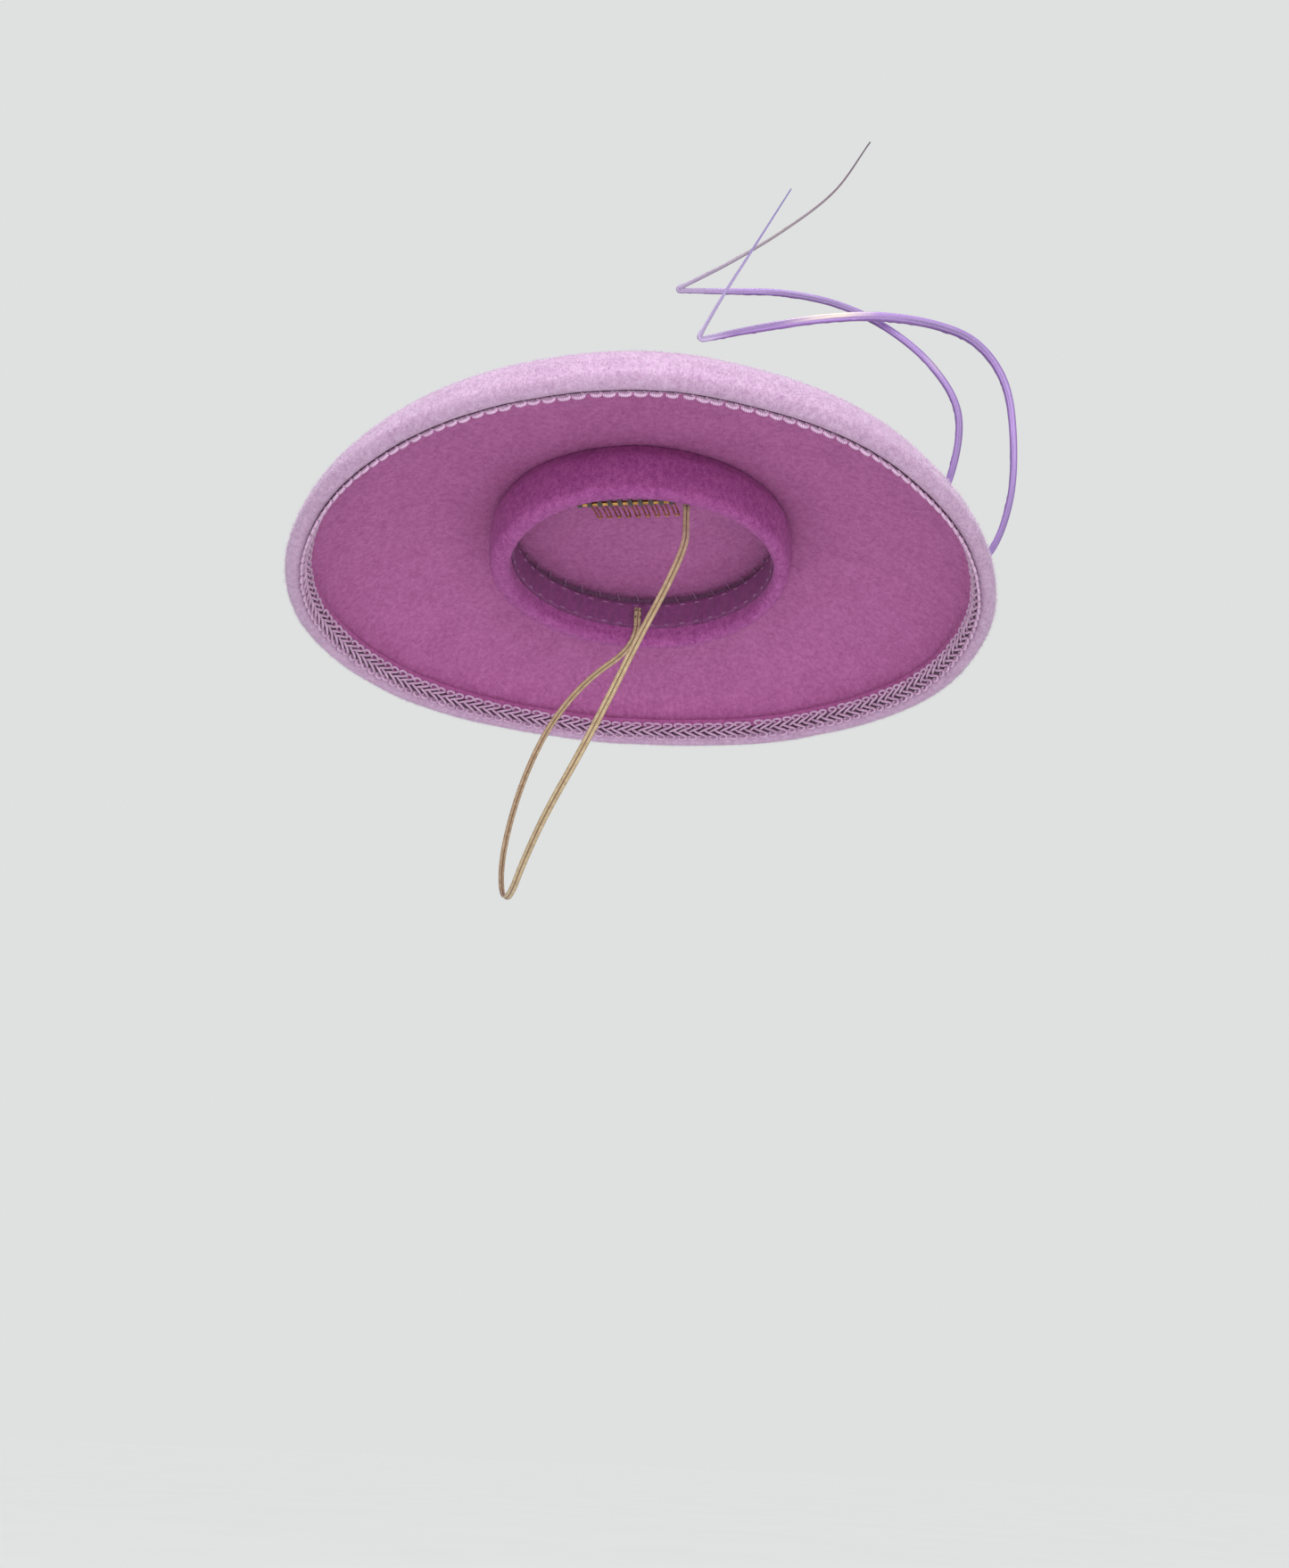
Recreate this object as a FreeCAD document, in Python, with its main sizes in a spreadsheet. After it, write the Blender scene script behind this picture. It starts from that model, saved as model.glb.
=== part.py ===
"""Felt fascinator headpiece: a saucer brim on a round head ring, with a comb, an elastic and two quills.

The row frame is the hat's own: +Z is the axis of the round brim, the wearer looks along -Y, and the
wearer's right is -X. The origin is the centre of the head ring's lower opening. Sizes are millimetres.
"""
import FreeCAD, Part
import math
import os
import Sketcher

from FreeCAD import Vector

os.makedirs("parts", exist_ok=True)
doc = FreeCAD.newDocument("fascinator")

SIZES = {
    # saucer brim: three arcs that get tighter from the crown to the rim, then a short straight lip
    "crown_top": 31.6,
    "crown_arc": 566.0,
    "shoulder_arc": 170.0,
    "edge_arc": 33.0,
    "crown_angle": 9.1,
    "shoulder_angle": 24.0,
    "edge_angle": 70.0,
    "lip_length": 4.0,
    "felt_thickness": 2.9,
    "roll_radius": 3.5,
    "hem_angle": 58.0,
    "rim_wire_radius": 0.55,
    # gimp braid that covers the raw edge of the hem
    "braid_width": 9.0,
    "braid_thickness": 1.6,
    # head ring
    "ring_bottom_radius": 64.5,
    "ring_top_radius": 65.5,
    "ring_roll_radius": 3.5,
    "ring_felt": 2.4,
    "ring_hem_height": 12.0,
    "ring_wire_radius": 0.9,
    "core_bottom": 5.0,
    "seam_gap": 0.05,
    "petersham_radius": 57.4,
    "petersham_thickness": 0.6,
    "petersham_bottom": 8.3,
    "petersham_width": 13.0,
    "thread_radius": 0.3,
    # wire comb
    "comb_azimuth": 161.5,
    "comb_distance": 52.2,
    "comb_height": 6.4,
    "comb_length": 38.0,
    "comb_bar_radius": 0.9,
    "comb_tooth_count": 9,
    "comb_tooth_pitch": 4.2,
    "comb_tooth_width": 1.8,
    "comb_tooth_radius": 0.4,
    "scalp_radius": 85.0,
    "comb_tooth_sweep": 26.0,
    "lashing_radius": 0.25,
    "lashing_clearance": 0.25,
    # elastic
    "elastic_width": 3.0,
    "elastic_tab_depth": 2.4,
    "elastic_tab_width": 4.4,
    "elastic_tab_height": 9.0,
    # quills
    "quill_root_radius": 1.6,
    "quill_tip_radius": 0.5,
    "tab_length": 17.0,
    "tab_width": 22.0,
    "tab_top": 30.6,
    "tunnel_width": 14.0,
    "tunnel_top": 28.9,
}

# Route of the elastic as it is worn: down from the right of the head ring, over the side of the head,
# under the back of it and up to the left of the head ring.
ELASTIC_ROUTE = [
    (-54.2, -8, 8),
    (-54.5, -8, -3),
    (-66, -6, -19),
    (-72.5, 2, -43),
    (-71.5, 12, -67),
    (-62, 21, -90),
    (-44.5, 29, -107.5),
    (-22, 36.5, -121),
    (4, 41.5, -133),
    (25, 44, -142),
    (41, 46, -138),
    (49, 47, -120),
    (54.5, 44, -96),
    (58.5, 38, -70),
    (60.5, 28.5, -44),
    (60, 13, -20),
    (54.5, -7.5, -3),
    (54.2, -8, 8),
]

# The tall quill rises from the front of the crown, arches back, kinks and points up and forward again.
TALL_QUILL_ROUTE = [
    (30, -83, 26.9),
    (17, -98, 25.6),
    (3, -116, 31),
    (-14, -131, 43),
    (-29, -137, 61),
    (-41, -133, 84),
    (-47.5, -119, 102),
    (-50.5, -98, 116),
    (-50.5, -75, 125),
    (-47, -50, 129.5),
    (-41.5, -25, 130),
    (-35, 6, 127),
    (-48, -25, 141),
    (-60, -47, 154),
    (-72, -66, 169),
    (-85, -78.5, 188),
]

# The low quill runs forward past the rim, turns up round it, arches back lower and kinks up again.
LOW_QUILL_ROUTE = [
    (33, -86, 26.2),
    (19, -101, 24.6),
    (5, -121, 20.5),
    (-9, -142, 19),
    (-20.5, -156, 28),
    (-34, -161, 48),
    (-47, -157, 72),
    (-56, -149, 93),
    (-61, -135, 107),
    (-61, -117, 113.5),
    (-58.5, -92, 115.5),
    (-54.5, -66, 112.5),
    (-49, -38, 106),
    (-42, -9, 96.5),
    (-54, -21, 117),
    (-65, -31, 135),
    (-79.5, -44, 158.5),
]


def make_sheet():
    sheet = doc.addObject("Spreadsheet::Sheet", "Sizes")
    for line, (name, value) in enumerate(SIZES.items(), start=1):
        sheet.set(f"A{line}", name)
        sheet.set(f"B{line}", str(value))
        sheet.setAlias(f"B{line}", name)
    doc.recompute()
    return sheet


sizes = make_sheet()
nodes = []


def size(name):
    return float(getattr(sizes, name))


def keep(thing, label, placement=None):
    """Name a finished sub-part, and place it."""
    thing.Label = label
    thing.Placement = placement or FreeCAD.Placement()
    nodes.append(thing)
    return thing


def keep_shape(shape, label, placement=None):
    feature = doc.addObject("Part::Feature", label)
    feature.Shape = shape
    return keep(feature, label, placement)


def polar(centre, radius, angle):
    """A point of the section plane: angle is in degrees from straight up towards the outside."""
    turn = math.radians(angle)
    return Vector(centre.x + radius * math.sin(turn), centre.y + radius * math.cos(turn), 0)


class Section:
    """A closed outline in a body's XZ sketch, drawn from end to end, that is revolved about Z."""

    def __init__(self, label):
        self.label = label
        self.body = doc.addObject("PartDesign::Body", label + "_body")
        self.sketch = self.body.newObject("Sketcher::SketchObject", label + "_section")
        plane = [item for item in self.body.Origin.OriginFeatures if item.Role == "XZ_Plane"][0]
        self.sketch.AttachmentSupport = [(plane, "")]
        self.sketch.MapMode = "FlatFace"
        self.links = []

    def bind(self, constraint, name, expression):
        self.sketch.renameConstraint(constraint, name)
        self.sketch.setExpression("Constraints." + name, expression)

    def line(self, start, end):
        index = self.sketch.addGeometry(Part.LineSegment(start, end), False)
        self.links.append((index, 1, 2))
        return index

    def arc(self, centre, radius, start, end, expression):
        """An arc from one angle to another; its radius is bound to an expression of the sheet."""
        circle = Part.Circle(centre, Vector(0, 0, 1), radius)
        low, high = sorted((90 - start, 90 - end))
        curve = Part.ArcOfCircle(circle, math.radians(low), math.radians(high))
        index = self.sketch.addGeometry(curve, False)
        self.links.append((index, 2, 1) if end > start else (index, 1, 2))
        constraint = self.sketch.addConstraint(Sketcher.Constraint("Radius", index, radius))
        self.bind(constraint, f"radius_{index}", expression)
        return index

    def revolve(self):
        for number, (index, _, last) in enumerate(self.links):
            following, first, _ = self.links[(number + 1) % len(self.links)]
            joint = Sketcher.Constraint("Coincident", index, last, following, first)
            self.sketch.addConstraint(joint)
        turned = self.body.newObject("PartDesign::Revolution", self.label + "_turned")
        turned.Profile = self.sketch
        turned.ReferenceAxis = (self.sketch, ["V_Axis"])
        turned.Angle = 360
        self.body.Tip = turned
        doc.recompute()
        return keep(self.body, self.label)


def ring_band(label, inner, outer, low, high):
    """A plain ring of rectangular section; each side is an expression of the sheet."""
    section = Section(label)
    sides = [evaluate(expression) for expression in (inner, outer, low, high)]
    corners = [
        Vector(sides[0], sides[2], 0),
        Vector(sides[1], sides[2], 0),
        Vector(sides[1], sides[3], 0),
        Vector(sides[0], sides[3], 0),
    ]
    for number, corner in enumerate(corners):
        section.line(corner, corners[(number + 1) % 4])
    sketch = section.sketch
    for index, kind in enumerate(("Horizontal", "Vertical", "Horizontal", "Vertical")):
        sketch.addConstraint(Sketcher.Constraint(kind, index))
    for name, kind, vertex, value, expression in (
        ("inner", "DistanceX", (0, 1), sides[0], inner),
        ("outer", "DistanceX", (0, 2), sides[1], outer),
        ("low", "DistanceY", (0, 1), sides[2], low),
        ("high", "DistanceY", (2, 1), sides[3], high),
    ):
        constraint = sketch.addConstraint(Sketcher.Constraint(kind, -1, 1, *vertex, value))
        section.bind(constraint, name, expression)
    return section.revolve()


def evaluate(expression):
    """The value of a sum of sheet names, such as "Sizes.core_bottom + Sizes.seam_gap"."""
    total = 0.0
    sign = 1.0
    for word in expression.split():
        if word in "+-":
            sign = 1.0 if word == "+" else -1.0
            continue
        total += sign * size(word.replace("Sizes.", ""))
    return total


# ---------------------------------------------------------------- saucer brim

CROWN_ANGLE = size("crown_angle")
SHOULDER_ANGLE = size("shoulder_angle")
EDGE_ANGLE = size("edge_angle")
HEM_ANGLE = size("hem_angle")
FELT = size("felt_thickness")
ROLL = size("roll_radius")

crown_centre = Vector(0, size("crown_top") - size("crown_arc"), 0)
shoulder_centre = polar(crown_centre, size("crown_arc") - size("shoulder_arc"), CROWN_ANGLE)
edge_centre = polar(shoulder_centre, size("shoulder_arc") - size("edge_arc"), SHOULDER_ANGLE)
along_lip = Vector(math.cos(math.radians(EDGE_ANGLE)), -math.sin(math.radians(EDGE_ANGLE)), 0)
roll_centre = polar(edge_centre, size("edge_arc") - ROLL, EDGE_ANGLE) + along_lip * size("lip_length")


def crown_height(radius):
    """Height of the felt's outer surface at a distance from the hat's axis."""
    for centre, arc, limit in (
        (crown_centre, "crown_arc", CROWN_ANGLE),
        (shoulder_centre, "shoulder_arc", SHOULDER_ANGLE),
        (edge_centre, "edge_arc", EDGE_ANGLE),
    ):
        if radius <= polar(centre, size(arc), limit).x:
            return centre.y + math.sqrt(size(arc) ** 2 - (radius - centre.x) ** 2)
    return roll_centre.y


def make_crown():
    """One piece of blocked felt. Its edge is folded round the rim wire and back up inside as a hem."""
    section = Section("crown_felt")
    crown, shoulder, edge = size("crown_arc"), size("shoulder_arc"), size("edge_arc")
    lip = along_lip * size("lip_length")
    hem_face = edge - 2 * ROLL
    section.arc(crown_centre, crown, 0, CROWN_ANGLE, "Sizes.crown_arc")
    section.arc(shoulder_centre, shoulder, CROWN_ANGLE, SHOULDER_ANGLE, "Sizes.shoulder_arc")
    section.arc(edge_centre, edge, SHOULDER_ANGLE, EDGE_ANGLE, "Sizes.edge_arc")
    outer_lip = polar(edge_centre, edge, EDGE_ANGLE)
    section.line(outer_lip, outer_lip + lip)
    section.arc(roll_centre, ROLL, EDGE_ANGLE, EDGE_ANGLE + 180, "Sizes.roll_radius")
    hem_lip = polar(edge_centre, hem_face, EDGE_ANGLE)
    section.line(hem_lip + lip, hem_lip)
    section.arc(edge_centre, hem_face, EDGE_ANGLE, HEM_ANGLE, "Sizes.edge_arc - 2 * Sizes.roll_radius")
    section.line(polar(edge_centre, hem_face, HEM_ANGLE), polar(edge_centre, hem_face + FELT, HEM_ANGLE))
    section.arc(
        edge_centre,
        hem_face + FELT,
        HEM_ANGLE,
        EDGE_ANGLE,
        "Sizes.edge_arc - 2 * Sizes.roll_radius + Sizes.felt_thickness",
    )
    hem_back = polar(edge_centre, hem_face + FELT, EDGE_ANGLE)
    section.line(hem_back, hem_back + lip)
    section.arc(
        roll_centre,
        ROLL - FELT,
        EDGE_ANGLE + 180,
        EDGE_ANGLE,
        "Sizes.roll_radius - Sizes.felt_thickness",
    )
    inner_lip = polar(edge_centre, edge - FELT, EDGE_ANGLE)
    section.line(inner_lip + lip, inner_lip)
    section.arc(
        edge_centre, edge - FELT, EDGE_ANGLE, SHOULDER_ANGLE, "Sizes.edge_arc - Sizes.felt_thickness"
    )
    section.arc(
        shoulder_centre,
        shoulder - FELT,
        SHOULDER_ANGLE,
        CROWN_ANGLE,
        "Sizes.shoulder_arc - Sizes.felt_thickness",
    )
    section.arc(crown_centre, crown - FELT, CROWN_ANGLE, 0, "Sizes.crown_arc - Sizes.felt_thickness")
    section.line(polar(crown_centre, crown - FELT, 0), polar(crown_centre, crown, 0))
    return section.revolve()


def make_wire_ring(label, ring_radius, height, wire):
    """A closed ring of round wire; wire names the cell that holds its radius."""
    ring = doc.addObject("Part::Torus", label)
    ring.Radius1 = ring_radius
    ring.setExpression("Radius2", "Sizes." + wire)
    return keep(ring, label, FreeCAD.Placement(Vector(0, 0, height), FreeCAD.Rotation()))


def make_braid():
    """The gimp braid lies on the hem's inner face, from the roll up over the raw edge."""
    section = Section("rim_braid")
    face = size("edge_arc") - 2 * ROLL - size("seam_gap")
    depth = size("braid_thickness")
    lip = along_lip * size("lip_length")
    rest = size("braid_width") - size("lip_length")
    top_angle = EDGE_ANGLE - math.degrees(rest / face)
    back = polar(edge_centre, face, EDGE_ANGLE)
    front = polar(edge_centre, face - depth, EDGE_ANGLE)
    back_radius = "Sizes.edge_arc - 2 * Sizes.roll_radius - Sizes.seam_gap"
    section.line(front, front + lip)
    section.line(front + lip, back + lip)
    section.line(back + lip, back)
    section.arc(edge_centre, face, EDGE_ANGLE, top_angle, back_radius)
    section.line(polar(edge_centre, face, top_angle), polar(edge_centre, face - depth, top_angle))
    section.arc(
        edge_centre, face - depth, top_angle, EDGE_ANGLE, back_radius + " - Sizes.braid_thickness"
    )
    return section.revolve()


# ---------------------------------------------------------------- head ring

RING_ROLL = size("ring_roll_radius")
RING_FELT = size("ring_felt")
ring_roll_centre = Vector(size("ring_bottom_radius") - RING_ROLL, RING_ROLL, 0)
under_crown = size("crown_arc") - FELT - size("seam_gap")


def under_crown_point(radius):
    """The point just below the felt's underside at a distance from the hat's axis."""
    return Vector(radius, crown_centre.y + math.sqrt(under_crown**2 - radius**2), 0)


def make_ring_felt():
    """The ring's felt cover: up the outside to the crown, and turned in round the wire at the bottom."""
    section = Section("ring_felt")
    outer_top = under_crown_point(size("ring_top_radius"))
    inner_top = under_crown_point(size("ring_top_radius") - RING_FELT)
    outer_bottom = ring_roll_centre + Vector(RING_ROLL, 0, 0)
    inner_bottom = ring_roll_centre + Vector(RING_ROLL - RING_FELT, 0, 0)
    hem_face = ring_roll_centre - Vector(RING_ROLL, 0, 0)
    hem_back = ring_roll_centre - Vector(RING_ROLL - RING_FELT, 0, 0)
    hem_rise = Vector(0, size("ring_hem_height") - RING_ROLL, 0)
    section.line(inner_top, outer_top)
    section.line(outer_top, outer_bottom)
    section.arc(ring_roll_centre, RING_ROLL, 90, 270, "Sizes.ring_roll_radius")
    section.line(hem_face, hem_face + hem_rise)
    section.line(hem_face + hem_rise, hem_back + hem_rise)
    section.line(hem_back + hem_rise, hem_back)
    section.arc(
        ring_roll_centre, RING_ROLL - RING_FELT, 270, 90, "Sizes.ring_roll_radius - Sizes.ring_felt"
    )
    section.line(inner_bottom, inner_top)
    return section.revolve()


def make_ring_core():
    """The stiff band inside the cover, which gives the ring its height."""
    section = Section("ring_core")
    gap = size("seam_gap")
    inner = ring_roll_centre.x - (RING_ROLL - RING_FELT) + gap
    outer = ring_roll_centre.x + (RING_ROLL - RING_FELT) - gap
    low = size("core_bottom")
    corners = [
        Vector(inner, low, 0),
        Vector(outer, low, 0),
        under_crown_point(outer),
        under_crown_point(inner),
    ]
    for number, corner in enumerate(corners):
        section.line(corner, corners[(number + 1) % 4])
    constraint = section.sketch.addConstraint(
        Sketcher.Constraint("DistanceY", -1, 1, 0, 1, low)
    )
    section.bind(constraint, "low", "Sizes.core_bottom")
    return section.revolve()


def rod(start, end, radius):
    reach = end - start
    return Part.makeCylinder(radius, reach.Length, start, reach)


def ring_point(radius, height, azimuth):
    turn = math.radians(azimuth)
    return Vector(radius * math.cos(turn), radius * math.sin(turn), height)


def make_ring_stitches():
    """Slanted stitches, inside the ring, that hold its core to the underside of the crown."""
    count = 40
    low_radius = ring_roll_centre.x - (RING_ROLL - RING_FELT) + 0.4
    high_radius = low_radius - 2.2
    low = under_crown_point(low_radius).y - 2.6
    high = under_crown_point(high_radius).y + 0.6
    stitches = []
    for number in range(count):
        azimuth = 360 * number / count
        start = ring_point(low_radius, low, azimuth)
        end = ring_point(high_radius, high, azimuth + 1.5)
        stitches.append(rod(start, end, size("thread_radius")))
    return keep_shape(Part.makeCompound(stitches), "ring_stitches")


def make_petersham_stitches():
    """Short running stitches along both edges of the ribbon inside the head ring."""
    count = 48
    edge_inset = 1.5
    face = size("petersham_radius") - size("petersham_thickness")
    low = size("petersham_bottom") + edge_inset
    high = size("petersham_bottom") + size("petersham_width") - edge_inset
    half = 1.1
    stitches = []
    for number in range(count):
        azimuth = 360 * number / count
        along = ring_point(1, 0, azimuth + 90)
        for height in (low, high):
            middle = ring_point(face, height, azimuth)
            stitches.append(rod(middle - along * half, middle + along * half, size("thread_radius")))
    return keep_shape(Part.makeCompound(stitches), "petersham_stitches")


# ---------------------------------------------------------------- comb

COMB_AZIMUTH = size("comb_azimuth")
comb_outward = ring_point(1, 0, COMB_AZIMUTH)
comb_along = ring_point(1, 0, COMB_AZIMUTH + 90)
comb_middle = ring_point(size("comb_distance"), size("comb_height"), COMB_AZIMUTH)


def comb_offset(number, pitch_share=0.0):
    """Distance along the bar of a tooth, or of the space beside it."""
    middle = (size("comb_tooth_count") - 1) / 2
    return (number - middle + pitch_share) * size("comb_tooth_pitch")


def make_comb_bar():
    bar = doc.addObject("Part::Cylinder", "comb_bar")
    bar.setExpression("Radius", "Sizes.comb_bar_radius")
    bar.setExpression("Height", "Sizes.comb_length")
    start = comb_middle - comb_along * (size("comb_length") / 2)
    return keep(bar, "comb_bar", FreeCAD.Placement(start, FreeCAD.Rotation(Vector(0, 0, 1), comb_along)))


def scalp_point(along, sweep):
    """A point on a tooth's leg: it follows the curve of the scalp, from the bar inwards and up."""
    radius = size("scalp_radius")
    first = math.asin(size("comb_distance") / radius)
    turn = first - math.radians(sweep)
    drop = radius * (math.cos(turn) - math.cos(first))
    return comb_outward * (radius * math.sin(turn)) + comb_along * along + Vector(0, 0, comb_middle.z + drop)


def make_comb_teeth():
    """Hairpin teeth of thin wire: down one leg, round the tip and back up the other."""
    half = size("comb_tooth_width") / 2
    wire = size("comb_tooth_radius")
    sweep = size("comb_tooth_sweep")
    teeth = []
    for number in range(int(size("comb_tooth_count"))):
        left = comb_offset(number) - half
        right = comb_offset(number) + half
        tip_left = scalp_point(left, sweep)
        tip_right = scalp_point(right, sweep)
        onward = (tip_left - scalp_point(left, sweep - 0.5)).normalize()
        tip = (tip_left + tip_right) * 0.5 + onward * half
        leg_down = Part.Arc(scalp_point(left, 0), scalp_point(left, sweep / 2), tip_left)
        turn = Part.Arc(tip_left, tip, tip_right)
        leg_up = Part.Arc(tip_right, scalp_point(right, sweep / 2), scalp_point(right, 0))
        path = Part.Wire([leg_down.toShape(), turn.toShape(), leg_up.toShape()])
        teeth.append(sweep_round(path, wire, wire))
    return keep_shape(Part.makeCompound(teeth), "comb_teeth")


def make_comb_lashing():
    """Thread loops that hold the bar to the ring's felt, between the teeth, loose enough for it to turn."""
    thread = size("lashing_radius")
    loop = size("comb_bar_radius") + size("lashing_clearance") + thread
    anchor = ring_roll_centre.x - RING_ROLL + 0.6
    up = Vector(0, 0, loop)
    loops = []
    for number in range(int(size("comb_tooth_count")) + 1):
        along = comb_offset(number, -0.5)
        reach = math.sqrt(anchor**2 - along**2) - size("comb_distance") - loop
        inner = comb_middle + comb_along * along
        outer = inner + comb_outward * reach
        edges = [
            Part.LineSegment(inner + up, outer + up).toShape(),
            Part.Arc(outer + up, outer + comb_outward * loop, outer - up).toShape(),
            Part.LineSegment(outer - up, inner - up).toShape(),
            Part.Arc(inner - up, inner - comb_outward * loop, inner + up).toShape(),
        ]
        loops.append(sweep_round(Part.Wire(edges), thread, thread))
    return keep_shape(Part.makeCompound(loops), "comb_lashing")


# ---------------------------------------------------------------- swept pieces


def rounded_path(points, label):
    """Straight runs joined by tangent arcs; each arc is as large as its two runs allow."""
    route = [Vector(*point) for point in points]
    edges = []
    radii = []
    last = route[0]
    for before, corner, after in zip(route, route[1:], route[2:]):
        run_in = (corner - before).Length
        run_out = (after - corner).Length
        arriving = (corner - before).normalize()
        leaving = (after - corner).normalize()
        half_turn = arriving.getAngle(leaving) / 2
        setback = 0.45 * min(run_in, run_out)
        radii.append(setback / math.tan(half_turn))
        start = corner - arriving * setback
        end = corner + leaving * setback
        inward = (leaving - arriving).normalize()
        middle = corner + inward * (radii[-1] / math.cos(half_turn) - radii[-1])
        edges.append(Part.LineSegment(last, start).toShape())
        edges.append(Part.Arc(start, middle, end).toShape())
        last = end
    edges.append(Part.LineSegment(last, route[-1]).toShape())
    path = Part.Wire(edges)
    print(label, "length", round(path.Length, 1), "radii", [round(radius, 1) for radius in radii])
    return path


def sweep_round(path, start_radius, end_radius):
    """A round section swept along a path, from one radius to another."""
    first = path.Edges[0]
    start = first.valueAt(first.FirstParameter)
    heading = first.tangentAt(first.FirstParameter)
    if path.isClosed():
        profile = Part.Wire([Part.Circle(start, heading, start_radius).toShape()])
        return path.makePipeShell([profile], True, False)
    last = path.Edges[-1]
    end = last.valueAt(last.LastParameter)
    leaving = last.tangentAt(last.LastParameter)
    profiles = [Part.Wire([Part.Circle(start, heading, start_radius).toShape()])]
    if start_radius != end_radius:
        profiles.append(Part.Wire([Part.Circle(end, leaving, end_radius).toShape()]))
    return path.makePipeShell(profiles, True, False)


def make_elastic():
    path = rounded_path(ELASTIC_ROUTE, "elastic")
    radius = size("elastic_width") / 2
    tube = sweep_round(path, radius, radius)
    print("elastic volume share", round(tube.Volume / (math.pi * radius**2 * path.Length), 4))
    return keep_shape(tube, "elastic")


def make_elastic_tab(label, side):
    """The end of the elastic, folded and sewn flat inside the ring; side is -1 right or +1 left."""
    depth = size("elastic_tab_depth")
    face = size("petersham_radius") - size("petersham_thickness")
    height = ELASTIC_ROUTE[0][2] + 1.0
    half_width = size("elastic_tab_width") / 2
    across = ELASTIC_ROUTE[0][1]
    corner_reach = math.sqrt(face**2 - (abs(across) + half_width) ** 2) - size("seam_gap")
    tab = doc.addObject("Part::Box", label)
    tab.setExpression("Length", "Sizes.elastic_tab_depth")
    tab.setExpression("Width", "Sizes.elastic_tab_width")
    tab.setExpression("Height", "Sizes.elastic_tab_height")
    left_edge = corner_reach - depth if side > 0 else -corner_reach
    corner = Vector(left_edge, across - half_width, height)
    return keep(tab, label, FreeCAD.Placement(corner, FreeCAD.Rotation()))


def make_tab_stitches():
    """Two stitches through each sewn end of the elastic into the ribbon."""
    face = size("petersham_radius") - size("petersham_thickness")
    stitches = []
    for side in (-1, 1):
        for rise in (3.0, 6.5):
            height = ELASTIC_ROUTE[0][2] + 1.0 + rise
            for shift in (-1.1, 1.1):
                across = ELASTIC_ROUTE[0][1] + shift
                inner = Vector(side * (face - 4.4), across, height)
                outer = Vector(side * (face - 0.5), across, height)
                stitches.append(rod(inner, outer, size("thread_radius")))
    return keep_shape(Part.makeCompound(stitches), "elastic_stitches")


def make_quill(label, route):
    path = rounded_path(route, label)
    return keep_shape(sweep_round(path, size("quill_root_radius"), size("quill_tip_radius")), label)


# ---------------------------------------------------------------- quill tab

quill_heading = Vector(-0.66, -0.75, 0).normalize()
quill_across = Vector(-quill_heading.y, quill_heading.x, 0)
QUILL_ROOT = Vector(25.5, -91, 0)


def block_on_quills(length, width, low, high):
    """A block centred over the quills' roots and lined up with them."""
    corner = QUILL_ROOT - quill_heading * (length / 2) - quill_across * (width / 2) + Vector(0, 0, low)
    edge_one = quill_heading * length
    edge_two = quill_across * width
    far_corner = corner + edge_one + edge_two
    outline = Part.makePolygon([corner, corner + edge_one, far_corner, corner + edge_two, corner])
    return Part.Face(outline).extrude(Vector(0, 0, high - low))


def make_quill_tab(crown):
    """A felt tab sewn over the quills' roots; the tunnel under it leaves them room to sway."""
    low = crown_height(120)
    tab = block_on_quills(size("tab_length"), size("tab_width"), low, size("tab_top"))
    upper_edges = [edge for edge in tab.Edges if edge.BoundBox.ZMin > size("tab_top") - 0.1]
    tab = tab.makeFillet(1.0, upper_edges)
    tunnel = block_on_quills(size("tab_length") + 4, size("tunnel_width"), low - 1, size("tunnel_top"))
    dome = Part.makeSphere(size("crown_arc") + size("seam_gap"), Vector(0, 0, crown_centre.y))
    tab = tab.cut(tunnel).cut(dome).cut(crown.Shape)
    return keep_shape(tab, "quill_tab")


def make_quill_stitches():
    """Stitches through the sides of the tab into the crown."""
    stitches = []
    for side in (-1, 1):
        for along in (-5.5, 0.0, 5.5):
            foot = QUILL_ROOT + quill_heading * along + quill_across * (side * (size("tab_width") / 2 - 2))
            surface = crown_height(math.hypot(foot.x, foot.y))
            top = Vector(foot.x, foot.y, size("tab_top") + 0.2)
            stitches.append(rod(Vector(foot.x, foot.y, surface - 1.5), top, size("thread_radius")))
    return keep_shape(Part.makeCompound(stitches), "quill_stitches")


# ---------------------------------------------------------------- build

crown_node = make_crown()
make_wire_ring("rim_wire", roll_centre.x, roll_centre.y, "rim_wire_radius")
make_braid()
make_ring_felt()
make_ring_core()
make_wire_ring("ring_wire", ring_roll_centre.x, ring_roll_centre.y, "ring_wire_radius")
make_ring_stitches()
ring_band(
    "petersham_ribbon",
    "Sizes.petersham_radius - Sizes.petersham_thickness",
    "Sizes.petersham_radius",
    "Sizes.petersham_bottom",
    "Sizes.petersham_bottom + Sizes.petersham_width",
)
make_petersham_stitches()
make_comb_bar()
make_comb_teeth()
make_comb_lashing()
make_elastic()
make_elastic_tab("elastic_tab_right", -1)
make_elastic_tab("elastic_tab_left", 1)
make_tab_stitches()
make_quill("tall_quill", TALL_QUILL_ROUTE)
make_quill("low_quill", LOW_QUILL_ROUTE)
doc.recompute()
make_quill_tab(crown_node)
make_quill_stitches()
doc.recompute()

for thing in doc.Objects:
    if "Invalid" in thing.State or "Error" in thing.State:
        raise RuntimeError(f"{thing.Label} is {thing.State}")
for thing in nodes:
    if thing.Shape.isNull() or not thing.Shape.isValid():
        raise RuntimeError(f"{thing.Label} has no valid shape")
    print(thing.Label, "solids", len(thing.Shape.Solids), "volume", round(thing.Shape.Volume, 1))
for thing in nodes:
    thing.Shape.exportStep(f"parts/{thing.Label}.step")
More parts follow.
